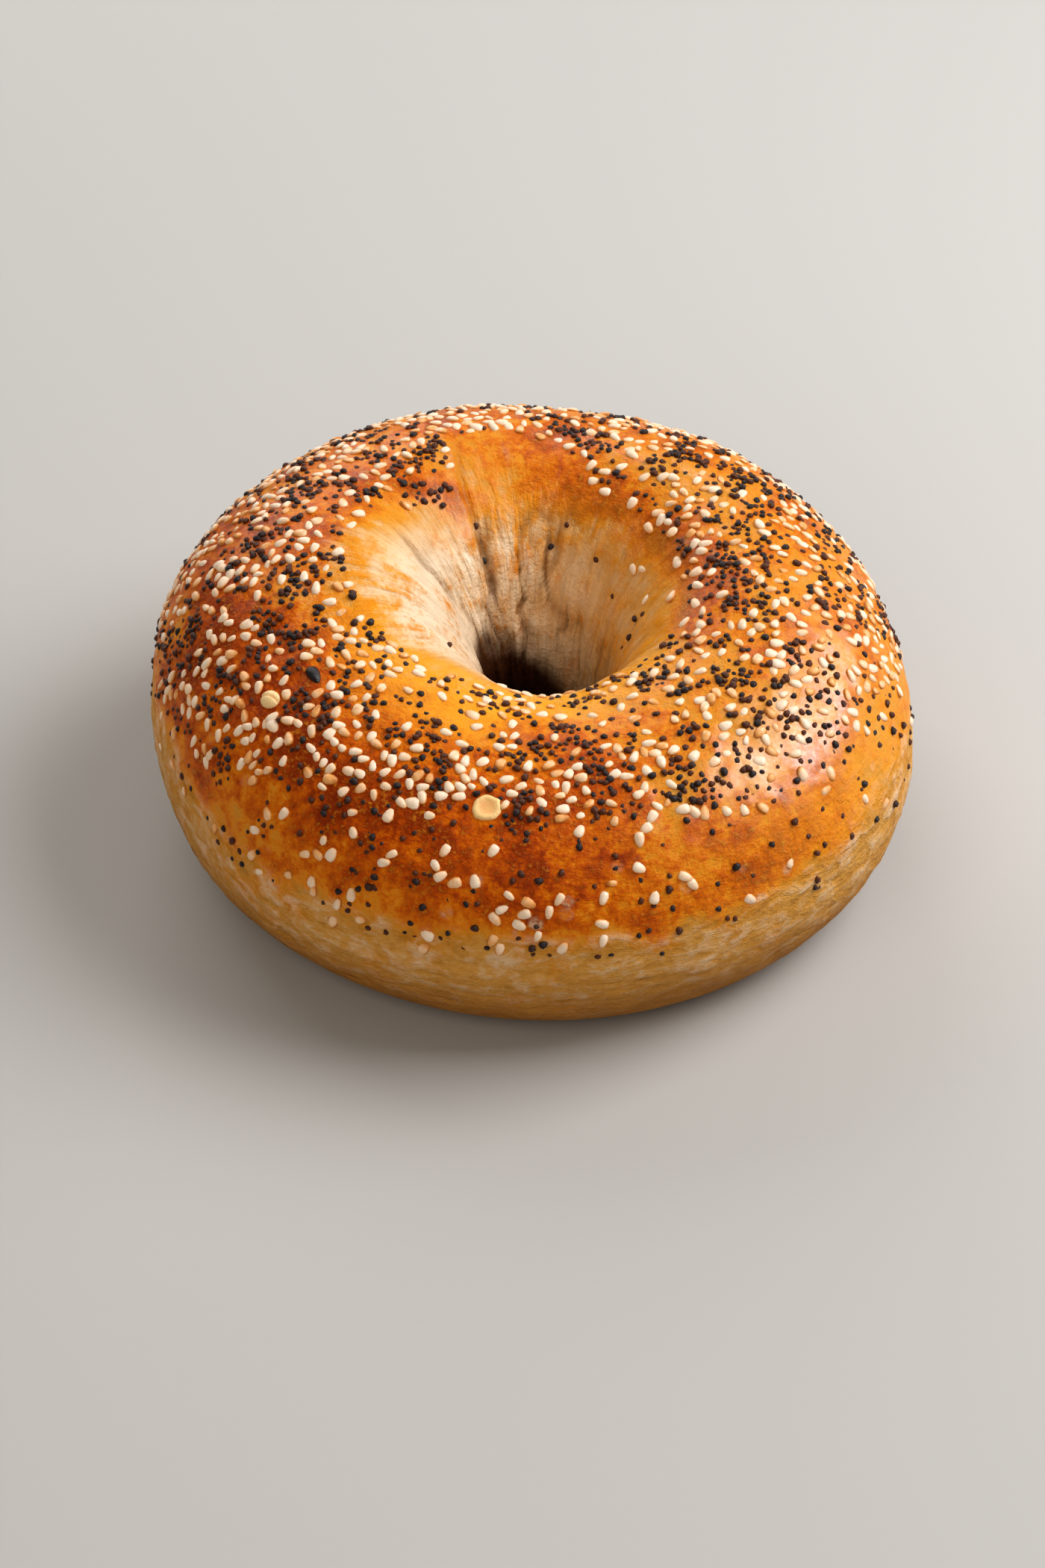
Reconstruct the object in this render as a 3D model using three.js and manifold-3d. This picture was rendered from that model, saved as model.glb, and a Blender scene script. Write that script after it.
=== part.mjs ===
// A seeded bagel: one baked ring of dough with a funnel-shaped hole, an open seam where the
// ends of the dough meet, and the larger sesame seeds and onion flakes that stand on its crust.
// Millimetres, +Z up. The ring lies on its flat base at z = 0, centred on the Z axis.
// Angles are in degrees. A ring angle goes round the Z axis: 0 is +X, 90 is +Y.
// A tube angle goes round the dough: 0 is the outer waist, 90 the crest, 180 the throat
// wall, 270 the base.

import * as THREE from 'three';
import { mergeVertices } from 'three/addons/utils/BufferGeometryUtils.js';
import Module from 'manifold-3d';

const wasm = await Module();
wasm.setup();

// ---------------------------------------------------------------- driving dimensions

const WAIST_RADIUS = 59.0;
const THROAT_RADIUS = 7.9;
const CREST_HEIGHT = 46.7;

// Uneven shape, as [cycles round the ring, cosine share, sine share].
const WAIST_WAVES = [[2, 0.0077, -0.0157], [3, -0.0029, -0.0039]];
const CREST_WAVES = [[1, -0.0249, 0.0896], [2, 0.0318, 0]];
const THROAT_SHIFT = { x: 2.35, y: 1.41 };

// Section of the dough, as shares of its height or width.
const WAIST_LEVEL = 0.46;
const THROAT_LEVEL = 0.25;
const CREST_PLACE = 0.5;
const BASE_CUT = 0.08;
const BASE_ROUNDING = 0.6;

// Fullness of the curves: 1 is an ellipse, less is squarer.
const OUTER_FULLNESS = 0.92;
const TOP_FULLNESS = 0.95;
const INNER_FULLNESS = 0.85;
const INNER_FULLNESS_FAR = 0.15;
const INNER_FULLNESS_SIDE = 0.1;

// Slow swells of the risen dough.
const SWELL_COUNT = 9;
const SWELL_HEIGHT = 0.34;
const SWELL_MOST_CYCLES = 7;

// Folds of the dough on the far wall of the hole. Each path is [tube angle, ring angle, depth].
const LEFT_CREASE = {
  path: [[110, 155.5, 0], [117, 156, 0.5], [125, 157.5, 0.65], [132, 155.8, 0.65],
    [138, 154.5, 0.45], [144, 152, 0]],
  halfWidth: 0.6,
};
const SEAM = {
  path: [[86, 111, 0], [93, 112.2, 0.3], [113, 117, 0.4], [124, 116.8, 0.6], [129, 116.4, 1.25],
    [136, 116, 1.25], [142, 117, 0.5], [148, 123, 0.25], [154, 127, 0]],
  halfWidth: 0.8,
};
const RIGHT_WRINKLE = {
  path: [[122, 76, 0], [127, 77.5, 0.5], [131, 78, 0.6], [137, 77.5, 0.6], [143, 83, 0.35],
    [150, 90.5, 0.3], [157, 93, 0.5], [163, 93.5, 0]],
  halfWidth: 0.6,
};
const FOLDS = [LEFT_CREASE, SEAM, RIGHT_WRINKLE];
const FOLD_RETURN = 265;

// The bare tongue of dough to the right of the seam lies lower than the crust beside it.
const TONGUE_DEPTH = 0.85;
const TONGUE_WIDTH = 13;
const TONGUE_EDGE = 0.5;
const TONGUE_TOP = 88;
const TONGUE_FOOT = 156;
const TONGUE_FADE = 9;
const TONGUE_RIGHT = [[88, 92], [98, 79], [112, 68.5], [124, 60.5]];

// Grid of the bare ring.
const RING_STEP = 6;
const TUBE_STEP = 12.6;
const BASE_OUTER_EDGE = -69;
const BASE_INNER_EDGE = 246;
const BASE_MIDDLE = 270;
const SLIVER = 0.03;
const FOLD_LINES = [-6.5, -3.5, -1.5, 0, 1.5, 3.5, 6.5];
const FOLD_REACH = 20;
const FOLD_CLEAR = 8.5;

// Sesame seeds that are fused on, and the angles between which they lie.
const SEED_COUNT = 138;
const SEED_LENGTH = 2.05;
const SEED_LENGTH_SPREAD = 0.5;
const SEED_WIDTH_SHARE = 0.72;
const SEED_THICK_SHARE = 0.46;
const SEED_TAPER = 0.3;
const SEED_SUNK = 0.12;
const SEED_SPACING = 4.3;
const SEED_FROM = 2;
const SEED_TO = 130;
const DENSE_LOW = 20;
const DENSE_RISE = 42;
const DENSE_RISE_AT = 277;
const SPARSE_LOW = 6;
const SPARSE_SHARE = 0.1;
const BARE_FROM = 110;
const BARE_SWING = 12;
const BARE_SWING_AT = 350;

// Larger toppings: ring angle, tube angle, length, width and thickness.
const FLAKES = [
  { ring: 261.5, tube: 63, length: 4.4, width: 4.1, thick: 1.7 },
  { ring: 211.5, tube: 60, length: 3.3, width: 2.9, thick: 2.2 },
  { ring: 213.5, tube: 76, length: 3.4, width: 1.9, thick: 1.5 },
];

// Seeds that lie as a star, points inward.
const STAR = { ring: 239.3, tube: 59.5, seeds: 6, radius: 2.3 };

// Seeds that lie alone or in short rows on the thinly seeded low side: ring angle and tube
// angle of the first seed, number of seeds, and the steps in both angles to the next one.
const ROWS = [
  [269.5, 30.5, 3, -0.7, -4.3], [264.5, 23.5, 2, -0.3, -8.5], [274.5, 13.5, 1, 0, 0],
  [297, 56.5, 3, 1.7, -1.8], [304, 50.5, 3, 3, -2.5], [275.8, 64.5, 2, -0.3, -3.4],
  [294, 33.5, 2, 0.9, -3.5], [293, 60.5, 4, -1.6, -3.4], [240, 14, 2, -0.5, -7.5],
  [244, 11.5, 2, -2, 8], [255.5, 45, 2, 0, -9], [257.8, 34.5, 2, 3.2, 2],
  [247, 38.5, 2, -0.8, -3.5], [237.5, 30.5, 3, -2.2, -2.3], [263.5, 48, 1, 0, 0],
  [224.2, 30.5, 2, 2.8, 3.5], [223, 22.5, 2, 0.5, -9], [215.2, 37.5, 2, 3.6, -1.5],
  [247.8, 57.5, 1, 0, 0], [321.8, 36.5, 1, 0, 0],
];

// Seeds on the near lip of the hole: ring angle of each, and how the lip's tube angle bends.
const LIP_RINGS = [254, 262, 268, 275, 282.5, 289];
const LIP = { ring: 266, tube: 116, bend: 0.0085 };

// ---------------------------------------------------------------- small helpers

const radians = THREE.MathUtils.degToRad;

/** Wraps an angle difference to -180..180 degrees. */
function turn(angle) {
  return THREE.MathUtils.euclideanModulo(angle + 180, 360) - 180;
}

/** Random number from 0 to 1 that depends only on the two whole numbers given. */
function draw(index, salt) {
  let bits = Math.imul(index + 1, 0x9e3779b1) ^ Math.imul(salt + 1, 0x85ebca77);
  bits = Math.imul(bits ^ (bits >>> 15), 0x2c1b3c6d);
  bits = Math.imul(bits ^ (bits >>> 12), 0x297a2d39);
  return ((bits ^ (bits >>> 15)) >>> 0) / 4294967296;
}

/** Sum of cosine and sine waves round the ring. */
function waves(list, ring) {
  let sum = 0;
  for (const [cycles, cosine, sine] of list) {
    sum += cosine * Math.cos(cycles * ring) + sine * Math.sin(cycles * ring);
  }
  return sum;
}

/** Straight lines between [x, y] points, held level past both ends. */
function along(points, x) {
  if (x <= points[0][0]) {
    return points[0][1];
  }
  for (let i = 1; i < points.length; i += 1) {
    const [x0, y0] = points[i - 1];
    const [x1, y1] = points[i];
    if (x <= x1) {
      return y0 + (y1 - y0) * (x - x0) / (x1 - x0);
    }
  }
  return points[points.length - 1][1];
}

// ---------------------------------------------------------------- shape of the dough

/** Widest radius, throat radius and crest height of the dough at a ring angle. */
function girth(ring) {
  const angle = radians(ring);
  return {
    waist: WAIST_RADIUS * (1 + waves(WAIST_WAVES, angle)),
    throat: THROAT_RADIUS + THROAT_SHIFT.x * Math.cos(angle) + THROAT_SHIFT.y * Math.sin(angle),
    height: CREST_HEIGHT * (1 + waves(CREST_WAVES, angle)),
  };
}

/** Distance from the axis: powers of the cosine swing from the crest out to the waist or in to the throat. */
function distance(ring, tube) {
  const { waist, throat } = girth(ring);
  const crest = throat + (waist - throat) * CREST_PLACE;
  const cosine = Math.cos(radians(tube));
  if (cosine > 0) {
    return crest + (waist - crest) * cosine ** OUTER_FULLNESS;
  }
  const angle = radians(ring);
  const fullness = INNER_FULLNESS + INNER_FULLNESS_FAR * Math.sin(angle)
    + INNER_FULLNESS_SIDE * Math.cos(angle) ** 2;
  return crest - (crest - throat) * (-cosine) ** fullness;
}

/** Height over the table before the base is flattened. */
function level(ring, tube) {
  const { height } = girth(ring);
  const cosine = Math.cos(radians(tube));
  const sine = Math.sin(radians(tube));
  const middle = height * (WAIST_LEVEL * (1 + cosine) + THROAT_LEVEL * (1 - cosine)) / 2;
  if (sine > 0) {
    return middle + (height - middle) * sine ** TOP_FULLNESS;
  }
  return middle * (1 + sine);
}

/** Cuts the lowest part of the dough off flat, with a rounded edge, and keeps the full height. */
function flatten(ring, z) {
  const { height } = girth(ring);
  const cut = BASE_CUT * height;
  const rounding = cut * BASE_ROUNDING;
  const over = z - cut;
  let flat = over;
  if (over <= -rounding) {
    flat = 0;
  } else if (over < rounding) {
    flat = (over + rounding) ** 2 / (4 * rounding);
  }
  return flat * height / (height - cut);
}

/** Ring angle of a fold at a tube angle; under the base the path swings back to where it began. */
function foldRing(fold, tube) {
  const first = fold.path[0];
  return along([...fold.path, [FOLD_RETURN, first[1]]], tube);
}

/** Depth of a fold in its middle at a tube angle; it runs out at both ends of the path. */
function foldDepth(fold, tube) {
  return along(fold.path.map(([at, , depth]) => [at, depth]), tube);
}

/** Slow swells: sines with whole numbers of cycles round the ring and round the dough. */
function swell(ring, tube) {
  let sum = 0;
  for (let k = 0; k < SWELL_COUNT; k += 1) {
    const ringCycles = 2 + Math.floor(SWELL_MOST_CYCLES * draw(k, 10));
    const tubeCycles = Math.floor(3 * draw(k, 11)) - 1;
    const phase = 2 * Math.PI * draw(k, 12);
    sum += Math.sin(ringCycles * radians(ring) + tubeCycles * radians(tube) + phase);
  }
  return SWELL_HEIGHT * sum / Math.sqrt(SWELL_COUNT);
}

/** Relief over the smooth dough: swells, a groove along each fold, and the sunk tongue. */
function relief(ring, tube) {
  const arc = radians(1) * distance(ring, tube);
  const reach = 1 - THREE.MathUtils.smoothstep(-Math.sin(radians(tube)), 0.25, 0.75);
  let height = swell(ring, tube);
  for (const fold of FOLDS) {
    const across = turn(ring - foldRing(fold, tube)) * arc;
    height -= foldDepth(fold, tube) * Math.exp(-((across / fold.halfWidth) ** 2));
  }
  const past = -turn(ring - foldRing(SEAM, tube)) * arc;
  const tongueSpan = THREE.MathUtils.smoothstep(tube, TONGUE_TOP - TONGUE_FADE / 2, TONGUE_TOP + TONGUE_FADE)
    * (1 - THREE.MathUtils.smoothstep(tube, TONGUE_FOOT - TONGUE_FADE, TONGUE_FOOT + TONGUE_FADE));
  height -= TONGUE_DEPTH * THREE.MathUtils.smoothstep(past, -TONGUE_EDGE, TONGUE_EDGE)
    * Math.exp(-((Math.max(past, 0) / TONGUE_WIDTH) ** 2)) * tongueSpan;
  return height * reach;
}

/** Point of the crust, before the ring is centred; the relief stands along the tube's own direction. */
function crustPoint(ring, tube) {
  const height = relief(ring, tube);
  const rho = distance(ring, tube) + height * Math.cos(radians(tube));
  const z = flatten(ring, level(ring, tube) + height * Math.sin(radians(tube)));
  return new THREE.Vector3(rho * Math.cos(radians(ring)), rho * Math.sin(radians(ring)), z);
}

/** Middle of the ring's outline, which is moved onto the Z axis. */
function outlineCentre() {
  const box = new THREE.Box3();
  for (let ring = 0; ring < 360; ring += 1) {
    box.expandByPoint(crustPoint(ring, 0));
  }
  return box.getCenter(new THREE.Vector3()).setZ(0);
}

const CENTRE = outlineCentre();

/** Point of the crust in the part's own frame. */
function surface(ring, tube) {
  return crustPoint(ring, tube).sub(CENTRE);
}

/** Frame on the crust: outward normal, and the direction that goes round the ring. */
function crustFrame(ring, tube) {
  const step = 0.5;
  const round = surface(ring + step, tube).sub(surface(ring - step, tube)).normalize();
  const over = surface(ring, tube + step).sub(surface(ring, tube - step)).normalize();
  const normal = round.clone().cross(over).normalize();
  return { round, normal };
}

/** Ring angles of the grid lines: even steps, with closer lines beside each fold. */
function gridRings() {
  const folds = FOLDS.map((fold) => foldMiddle(fold));
  const rings = [];
  for (let ring = 0; ring < 360; ring += RING_STEP) {
    if (folds.every((middle) => Math.abs(turn(ring - middle)) > FOLD_CLEAR)) {
      rings.push(ring);
    }
  }
  for (const middle of folds) {
    rings.push(...FOLD_LINES.map((offset) => middle + offset));
  }
  return rings.sort((a, b) => a - b);
}

/** Ring angle halfway between the furthest points of a fold. */
function foldMiddle(fold) {
  const rings = fold.path.map((point) => point[1]);
  return (Math.min(...rings) + Math.max(...rings)) / 2;
}

/** Leans a grid line so that the lines near a fold run along it. */
function leaned(ring, tube) {
  let result = ring;
  for (const fold of FOLDS) {
    const middle = foldMiddle(fold);
    const share = turn(ring - middle) / FOLD_REACH;
    if (Math.abs(share) < 1) {
      result += (foldRing(fold, tube) - middle) * (1 - share ** 2) ** 2;
    }
  }
  return result;
}

/** Tube angles of the grid lines: even steps over the dough, and one across the flat base. */
function gridTubes() {
  const tubes = [];
  for (let tube = BASE_OUTER_EDGE; tube < BASE_INNER_EDGE + TUBE_STEP / 2; tube += TUBE_STEP) {
    tubes.push(tube);
  }
  return [...tubes, BASE_MIDDLE];
}

/** Closed grid of the bare ring, wrapped both ways. */
function ringGeometry() {
  const rings = gridRings();
  const tubes = gridTubes();
  const positions = [];
  const faces = [];
  rings.forEach((ring, i) => {
    const next = (i + 1) % rings.length;
    tubes.forEach((tube, j) => {
      const above = (j + 1) % tubes.length;
      positions.push(...surface(leaned(ring, tube), tube));
      const corners = [i * tubes.length + j, next * tubes.length + j,
        next * tubes.length + above, i * tubes.length + above];
      faces.push(corners[0], corners[1], corners[2], corners[0], corners[2], corners[3]);
    });
  });
  const geometry = new THREE.BufferGeometry();
  geometry.setAttribute('position', new THREE.Float32BufferAttribute(positions, 3));
  geometry.setIndex(faces);
  return geometry;
}

// ---------------------------------------------------------------- toppings

/** Share of the crust that is covered with seeds at a place, 0 to 1. */
function seedDensity(ring, tube) {
  const inner = BARE_FROM + BARE_SWING * Math.cos(radians(ring - BARE_SWING_AT));
  const dense = DENSE_LOW + DENSE_RISE * Math.max(0, Math.cos(radians(ring - DENSE_RISE_AT)));
  const onTongue = tube > TONGUE_TOP && ring < foldRing(SEAM, tube) + 2 && ring > along(TONGUE_RIGHT, tube);
  if (tube > inner || tube < SPARSE_LOW || onTongue) {
    return 0;
  }
  return tube > dense ? 1 : SPARSE_SHARE;
}

/** Places of the star's seeds: a small circle on the crust, each seed pointing at its middle. */
function starSeeds() {
  const middle = surface(STAR.ring, STAR.tube);
  const around = radians(1) * distance(STAR.ring, STAR.tube);
  const upward = surface(STAR.ring, STAR.tube + 1).distanceTo(middle);
  return Array.from({ length: STAR.seeds }, (_, k) => {
    const angle = 360 * k / STAR.seeds;
    return {
      ring: STAR.ring + STAR.radius * Math.cos(radians(angle)) / around,
      tube: STAR.tube + STAR.radius * Math.sin(radians(angle)) / upward,
      length: SEED_LENGTH,
      spin: angle,
    };
  });
}

/** Places of the seeds that are named above: the rows on the low side and those on the hole's lip. */
function rowSeeds() {
  const places = LIP_RINGS.map((ring) => [ring, LIP.tube + LIP.bend * (ring - LIP.ring) ** 2]);
  for (const [ring, tube, seeds, ringStep, tubeStep] of ROWS) {
    for (let k = 0; k < seeds; k += 1) {
      places.push([ring + k * ringStep, tube + k * tubeStep]);
    }
  }
  return places.map(([ring, tube], index) => ({
    ring,
    tube,
    length: SEED_LENGTH + SEED_LENGTH_SPREAD * draw(index, 6),
    spin: 360 * draw(index, 7),
  }));
}

/** Scatters the large sesame seeds: random places, thinned by density and by a least spacing. */
function scatteredSeeds(placed) {
  const taken = placed.map(({ ring, tube }) => surface(ring, tube));
  const seeds = [];
  for (let trial = 0; seeds.length < SEED_COUNT; trial += 1) {
    const ring = 360 * draw(trial, 1);
    const tube = SEED_FROM + (SEED_TO - SEED_FROM) * draw(trial, 2);
    const chance = seedDensity(ring, tube) * distance(ring, tube) / WAIST_RADIUS;
    const point = surface(ring, tube);
    if (draw(trial, 3) < chance && taken.every((other) => other.distanceTo(point) > SEED_SPACING)) {
      const length = SEED_LENGTH + SEED_LENGTH_SPREAD * draw(trial, 4);
      taken.push(point);
      seeds.push({ ring, tube, length, spin: 360 * draw(trial, 5) });
    }
  }
  return seeds;
}

/** Teardrop seed: a coarse six-sided dome, longest along X and narrower towards its tip. */
function seedGeometry(length, width, thick) {
  const geometry = new THREE.SphereGeometry(1 / Math.sqrt(3), 6, 3);
  geometry.rotateX(Math.PI / 2);
  const position = geometry.getAttribute('position');
  for (let i = 0; i < position.count; i += 1) {
    const taper = 1 - 2 * SEED_TAPER * position.getX(i);
    position.setXYZ(i, position.getX(i) * length, position.getY(i) * width * taper,
      position.getZ(i) * thick);
  }
  return geometry;
}

/** Onion flake or large seed: a low round lump. */
function flakeGeometry(length, width, thick) {
  const geometry = new THREE.SphereGeometry(0.5, 10, 5);
  geometry.rotateX(Math.PI / 2);
  geometry.scale(length, width, thick);
  return geometry;
}

/** Lays a topping on the crust: turned about the normal by its spin and partly sunk. */
function laid(geometry, ring, tube, spin, sunk) {
  const { round, normal } = crustFrame(ring, tube);
  const over = normal.clone().cross(round);
  const matrix = new THREE.Matrix4().makeBasis(round, over, normal);
  matrix.multiply(new THREE.Matrix4().makeRotationZ(radians(spin)));
  matrix.setPosition(surface(ring, tube).addScaledVector(normal, -sunk));
  return geometry.applyMatrix4(matrix);
}

// ---------------------------------------------------------------- fusing

/** Closed solid from a geometry, joined at shared corners. */
function solid(geometry) {
  const bare = geometry.clone();
  bare.deleteAttribute('normal');
  bare.deleteAttribute('uv');
  const merged = mergeVertices(bare, 1e-5);
  return new wasm.Manifold(new wasm.Mesh({
    numProp: 3,
    vertProperties: new Float32Array(merged.getAttribute('position').array),
    triVerts: new Uint32Array(merged.getIndex().array),
  }));
}

/** Geometry from a solid. */
function geometryOf(body) {
  const { vertProperties, triVerts } = body.getMesh();
  const geometry = new THREE.BufferGeometry();
  geometry.setAttribute('position', new THREE.BufferAttribute(vertProperties, 3));
  geometry.setIndex(new THREE.BufferAttribute(triVerts, 1));
  geometry.computeVertexNormals();
  return geometry;
}

/** The ring with its toppings fused on. */
function bagelGeometry() {
  let body = solid(ringGeometry());
  for (const { ring, tube, length, width, thick } of FLAKES) {
    body = body.add(solid(laid(flakeGeometry(length, width, thick), ring, tube, 0, SEED_SUNK)));
  }
  const named = [...starSeeds(), ...rowSeeds()];
  for (const { ring, tube, length, spin } of [...named, ...scatteredSeeds([...FLAKES, ...named])]) {
    const seed = seedGeometry(length, length * SEED_WIDTH_SHARE, length * SEED_THICK_SHARE);
    body = body.add(solid(laid(seed, ring, tube, spin, SEED_SUNK)));
  }
  return geometryOf(body.simplify(SLIVER));
}

// ---------------------------------------------------------------- the part

const crust = new THREE.MeshStandardMaterial({ color: 0xc8782a, roughness: 0.5, metalness: 0 });
const bagel = new THREE.Mesh(bagelGeometry(), crust);
bagel.name = 'bagel';

const part = new THREE.Group();
part.add(bagel);

export default part;
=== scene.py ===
"""Looks of a seeded bagel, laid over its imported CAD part.

One baked ring of dough with a funnel-shaped hole and an open seam. Sesame seeds, poppy seeds, an
onion flake, a garlic chip and a black cumin seed lie on its crust. Metres, +Z up, in the frame
of the CAD part. Angles are in degrees. A ring angle goes round the Z axis: 0 is +X, 90 is +Y.
A tube angle goes round the dough: 0 is the outer waist, 90 the crest, 180 the throat wall and
270 the base. A spot is (ring angle, tube angle), and a salt is a whole number that sets one row of
random draws apart from the others.
"""

import math

import bpy
import numpy as np
from bpy.props import FloatProperty, FloatVectorProperty, IntProperty, PointerProperty
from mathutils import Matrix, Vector


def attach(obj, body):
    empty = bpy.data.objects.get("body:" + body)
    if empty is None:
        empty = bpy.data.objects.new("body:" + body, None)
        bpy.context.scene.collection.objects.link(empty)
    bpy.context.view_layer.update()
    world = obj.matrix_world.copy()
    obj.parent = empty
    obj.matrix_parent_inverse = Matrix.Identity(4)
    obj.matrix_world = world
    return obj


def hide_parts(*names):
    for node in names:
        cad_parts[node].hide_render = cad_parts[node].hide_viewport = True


bl_info = {
    "name": "Seeded bagel",
    "version": (1, 0, 0),
    "blender": (4, 5, 0),
    "location": "3D View > Sidebar > Bagel",
    "description": "Dresses the packed bagel with its crust, seeds and flakes",
    "category": "Object",
}

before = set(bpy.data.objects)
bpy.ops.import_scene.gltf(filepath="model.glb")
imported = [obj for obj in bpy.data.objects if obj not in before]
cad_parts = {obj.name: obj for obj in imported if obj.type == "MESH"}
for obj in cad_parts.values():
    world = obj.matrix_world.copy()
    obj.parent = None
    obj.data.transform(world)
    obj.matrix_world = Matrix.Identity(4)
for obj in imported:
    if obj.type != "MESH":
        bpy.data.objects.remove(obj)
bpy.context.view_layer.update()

MM = 0.001
BODY = "root"
CAD_NODE = "bagel"

# -------------------- shape of the dough

# Uneven shape, as (cycles round the ring, cosine share, sine share).
WAIST_WAVES = ((2, 0.0077, -0.0157), (3, -0.0029, -0.0039))
CREST_WAVES = ((1, -0.0249, 0.0896), (2, 0.0318, 0.0))
THROAT_SHIFT = (2.35 * MM, 1.41 * MM)

# Section of the dough, as shares of its height or width.
WAIST_LEVEL = 0.46
THROAT_LEVEL = 0.25
CREST_PLACE = 0.5
BASE_CUT = 0.08
BASE_ROUNDING = 0.6

# Fullness of the curves: 1 is an ellipse, less is squarer.
OUTER_FULLNESS = 0.92
TOP_FULLNESS = 0.95
INNER_FULLNESS = 0.85
INNER_FULLNESS_FAR = 0.15
INNER_FULLNESS_SIDE = 0.1

# Slow swells of the risen dough.
SWELL_COUNT = 9
SWELL_HEIGHT = 0.34 * MM
SWELL_MOST_CYCLES = 7

# Folds on the far wall of the hole: path as (tube angle, ring angle, depth), and half width.
FOLDS = (
    (((110, 155.5, 0), (117, 156, 0.5), (125, 157.5, 0.65), (132, 155.8, 0.65),
      (138, 154.5, 0.45), (144, 152, 0)), 0.6 * MM),
    (((86, 111, 0), (93, 112.2, 0.3), (113, 117, 0.4), (124, 116.8, 0.6), (129, 116.4, 1.25),
      (136, 116, 1.25), (142, 117, 0.5), (148, 123, 0.25), (154, 127, 0)), 0.8 * MM),
    (((122, 76, 0), (127, 77.5, 0.5), (131, 78, 0.6), (137, 77.5, 0.6), (143, 83, 0.35),
      (150, 90.5, 0.3), (157, 93, 0.5), (163, 93.5, 0)), 0.6 * MM),
)
FOLD_RETURN = 265
FOLD_REACH = 20
FOLD_DEEPEST = 1.25
SEAM = FOLDS[1]

# The bare tongue of dough to the right of the seam lies lower than the crust beside it.
TONGUE_DEPTH = 0.85 * MM
TONGUE_WIDTH = 13 * MM
TONGUE_EDGE = 0.5 * MM
TONGUE_TOP = 88
TONGUE_FOOT = 156
TONGUE_FADE = 9
TONGUE_RIGHT = ((88, 92), (98, 79), (112, 68.5), (124, 60.5))

# Relief fades out where the tube's own direction points this steeply down.
RELIEF_FADE = (0.25, 0.75)

# Clouds of relief or change, as (height, size, salt). Heights of skin and crumbs are millimetres,
# those of the strands' waver are degrees.
SKIN = ((0.22, 6.5 * MM, 24), (0.13, 2.8 * MM, 25), (0.06, 1.5 * MM, 26))
CRUMBS = ((0.2, 2.1 * MM, 23), (0.08, 0.9 * MM, 18))
STRAND_WAVER = ((4.5, 5 * MM, 20), (1.6, 2 * MM, 19))

# Sets of torn strands: share of the height, number to a radian, rise of their drum and salt. They
# are flat above a limit and stand this many millimetres high. They lie in a band of tube angles and
# are strongest round a ring angle.
STRANDS = ((0.62, 4.2, 0.5, 21), (0.38, 9.0, 0.8, 22))
STRAND_LIMIT = 0.3
STRAND_HEIGHT = 1.2
STRAND_BAND = ((112, 136), (190, 225))
STRANDS_MIDDLE = (98, 48)

# Drum on which patterns are drawn out: its radius, and its rise to a radian of tube angle for the
# crags and for the colours.
DRUM_RADIUS = 59 * MM
CRAG_RISE = 55 * MM
FLOW_RISE = 25 * MM

# Small pits low on the pale side and in the hole, as spots, and their size.
PITS = ((229.5, -10), (250, -7), (253.5, 3), (255, 4), (264.8, 7.5), (57.3, 141.5), (60, 145.6))
PIT_DEPTH = 0.45 * MM
PIT_RADIUS = 0.5 * MM

# Grid of the crust: lines round the ring, lines over the dough and lines across the base.
RING_LINES = 430
TUBE_LINES = 216
BASE_LINES = 11
BASE_OUTER_EDGE = -69
BASE_INNER_EDGE = 246

# -------------------- work of the oven

# Where the crust baked darker or paler: ring angle, tube angle, reach in both, and the change.
BAKED_PATCHES = (
    (285, 38, 24, 20, 0.2), (252, 48, 24, 22, 0.18), (325, 28, 22, 16, -0.14),
    (190, 46, 36, 32, 0.24), (40, 76, 75, 34, -0.12), (322, 66, 30, 26, -0.16), (12, 119, 52, 15, 0.45),
    (157, 96, 20, 13, 0.1), (122, 112, 9, 9, 0.12), (56, 104, 14, 14, -0.14), (258, 52, 16, 14, 0.08),
    (238, 44, 8, 8, 0.16), (135, 111, 10, 8, 0.4), (90, 97, 12, 9, 0.26), (108, 80, 18, 10, 0.22),
    (112, 101, 13, 11, -0.24), (45, 92, 20, 14, -0.18), (270, 34, 12, 14, 0.2), (215, 62, 22, 14, 0.22),
    (270, 68, 14, 9, 0.12), (170, 66, 22, 12, 0.2), (306, 24, 8, 7, 0.18), (283, 45, 8, 6, 0.12),
    (304, 36, 6, 5, -0.14), (319, 28, 8, 6, 0.02), (90, 80, 50, 18, 0.1),
)
BAKED_LEVEL = 0.58

# The browning ends in drips above the pale side: tube angle, number of drips, ring angle between
# two of them and height. At the hole it ends further in at one ring angle and beside the seam.
DRIP_LINE, DRIP_COUNT, DRIP_AT, DRIP_HEIGHT = 14, 5, 267, 3
DRIP_FADE = (-10, 11)
INNER_LINE, INNER_SWING, INNER_SWING_AT = 113, 17, 45
INNER_FADE = 14
INNER_SEAM = (124, 11)

# Bands of tube angles in which the crust is golden or bald, each between two soft edges.
GOLDEN_WALL = ((106, 122), (150, 162))
GOLDEN_SIDE = ((12, 22), (34, 52))
BALD_SIDE = ((8, 20), (34, 48))

# -------------------- toppings

# How deep seeds and flakes sit, and how far seeds tilt to either side, in degrees.
SEED_SUNK = 0.12 * MM
SESAME_TILT = 13
POPPY_TILT = 30

# The seeds of the CAD part: number, length as (least, range), and spacing.
LARGE_SEEDS = 138
LARGE_LENGTH = (2.05 * MM, 0.5 * MM)
LARGE_SPACING = 4.3 * MM

# Tube angles where seeds lie: outer limits, the lower edge of the dense ones, which rises towards
# the near side, the lower edge of the sparse ones, and the inner edge, which swings.
SEED_FROM = 2
SEED_TO = 130
DENSE_LOW = 20
DENSE_RISE = 42
DENSE_RISE_AT = 277
SPARSE_LOW = 6
BARE_FROM = 110
BARE_SWING = 12
BARE_SWING_AT = 350

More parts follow.
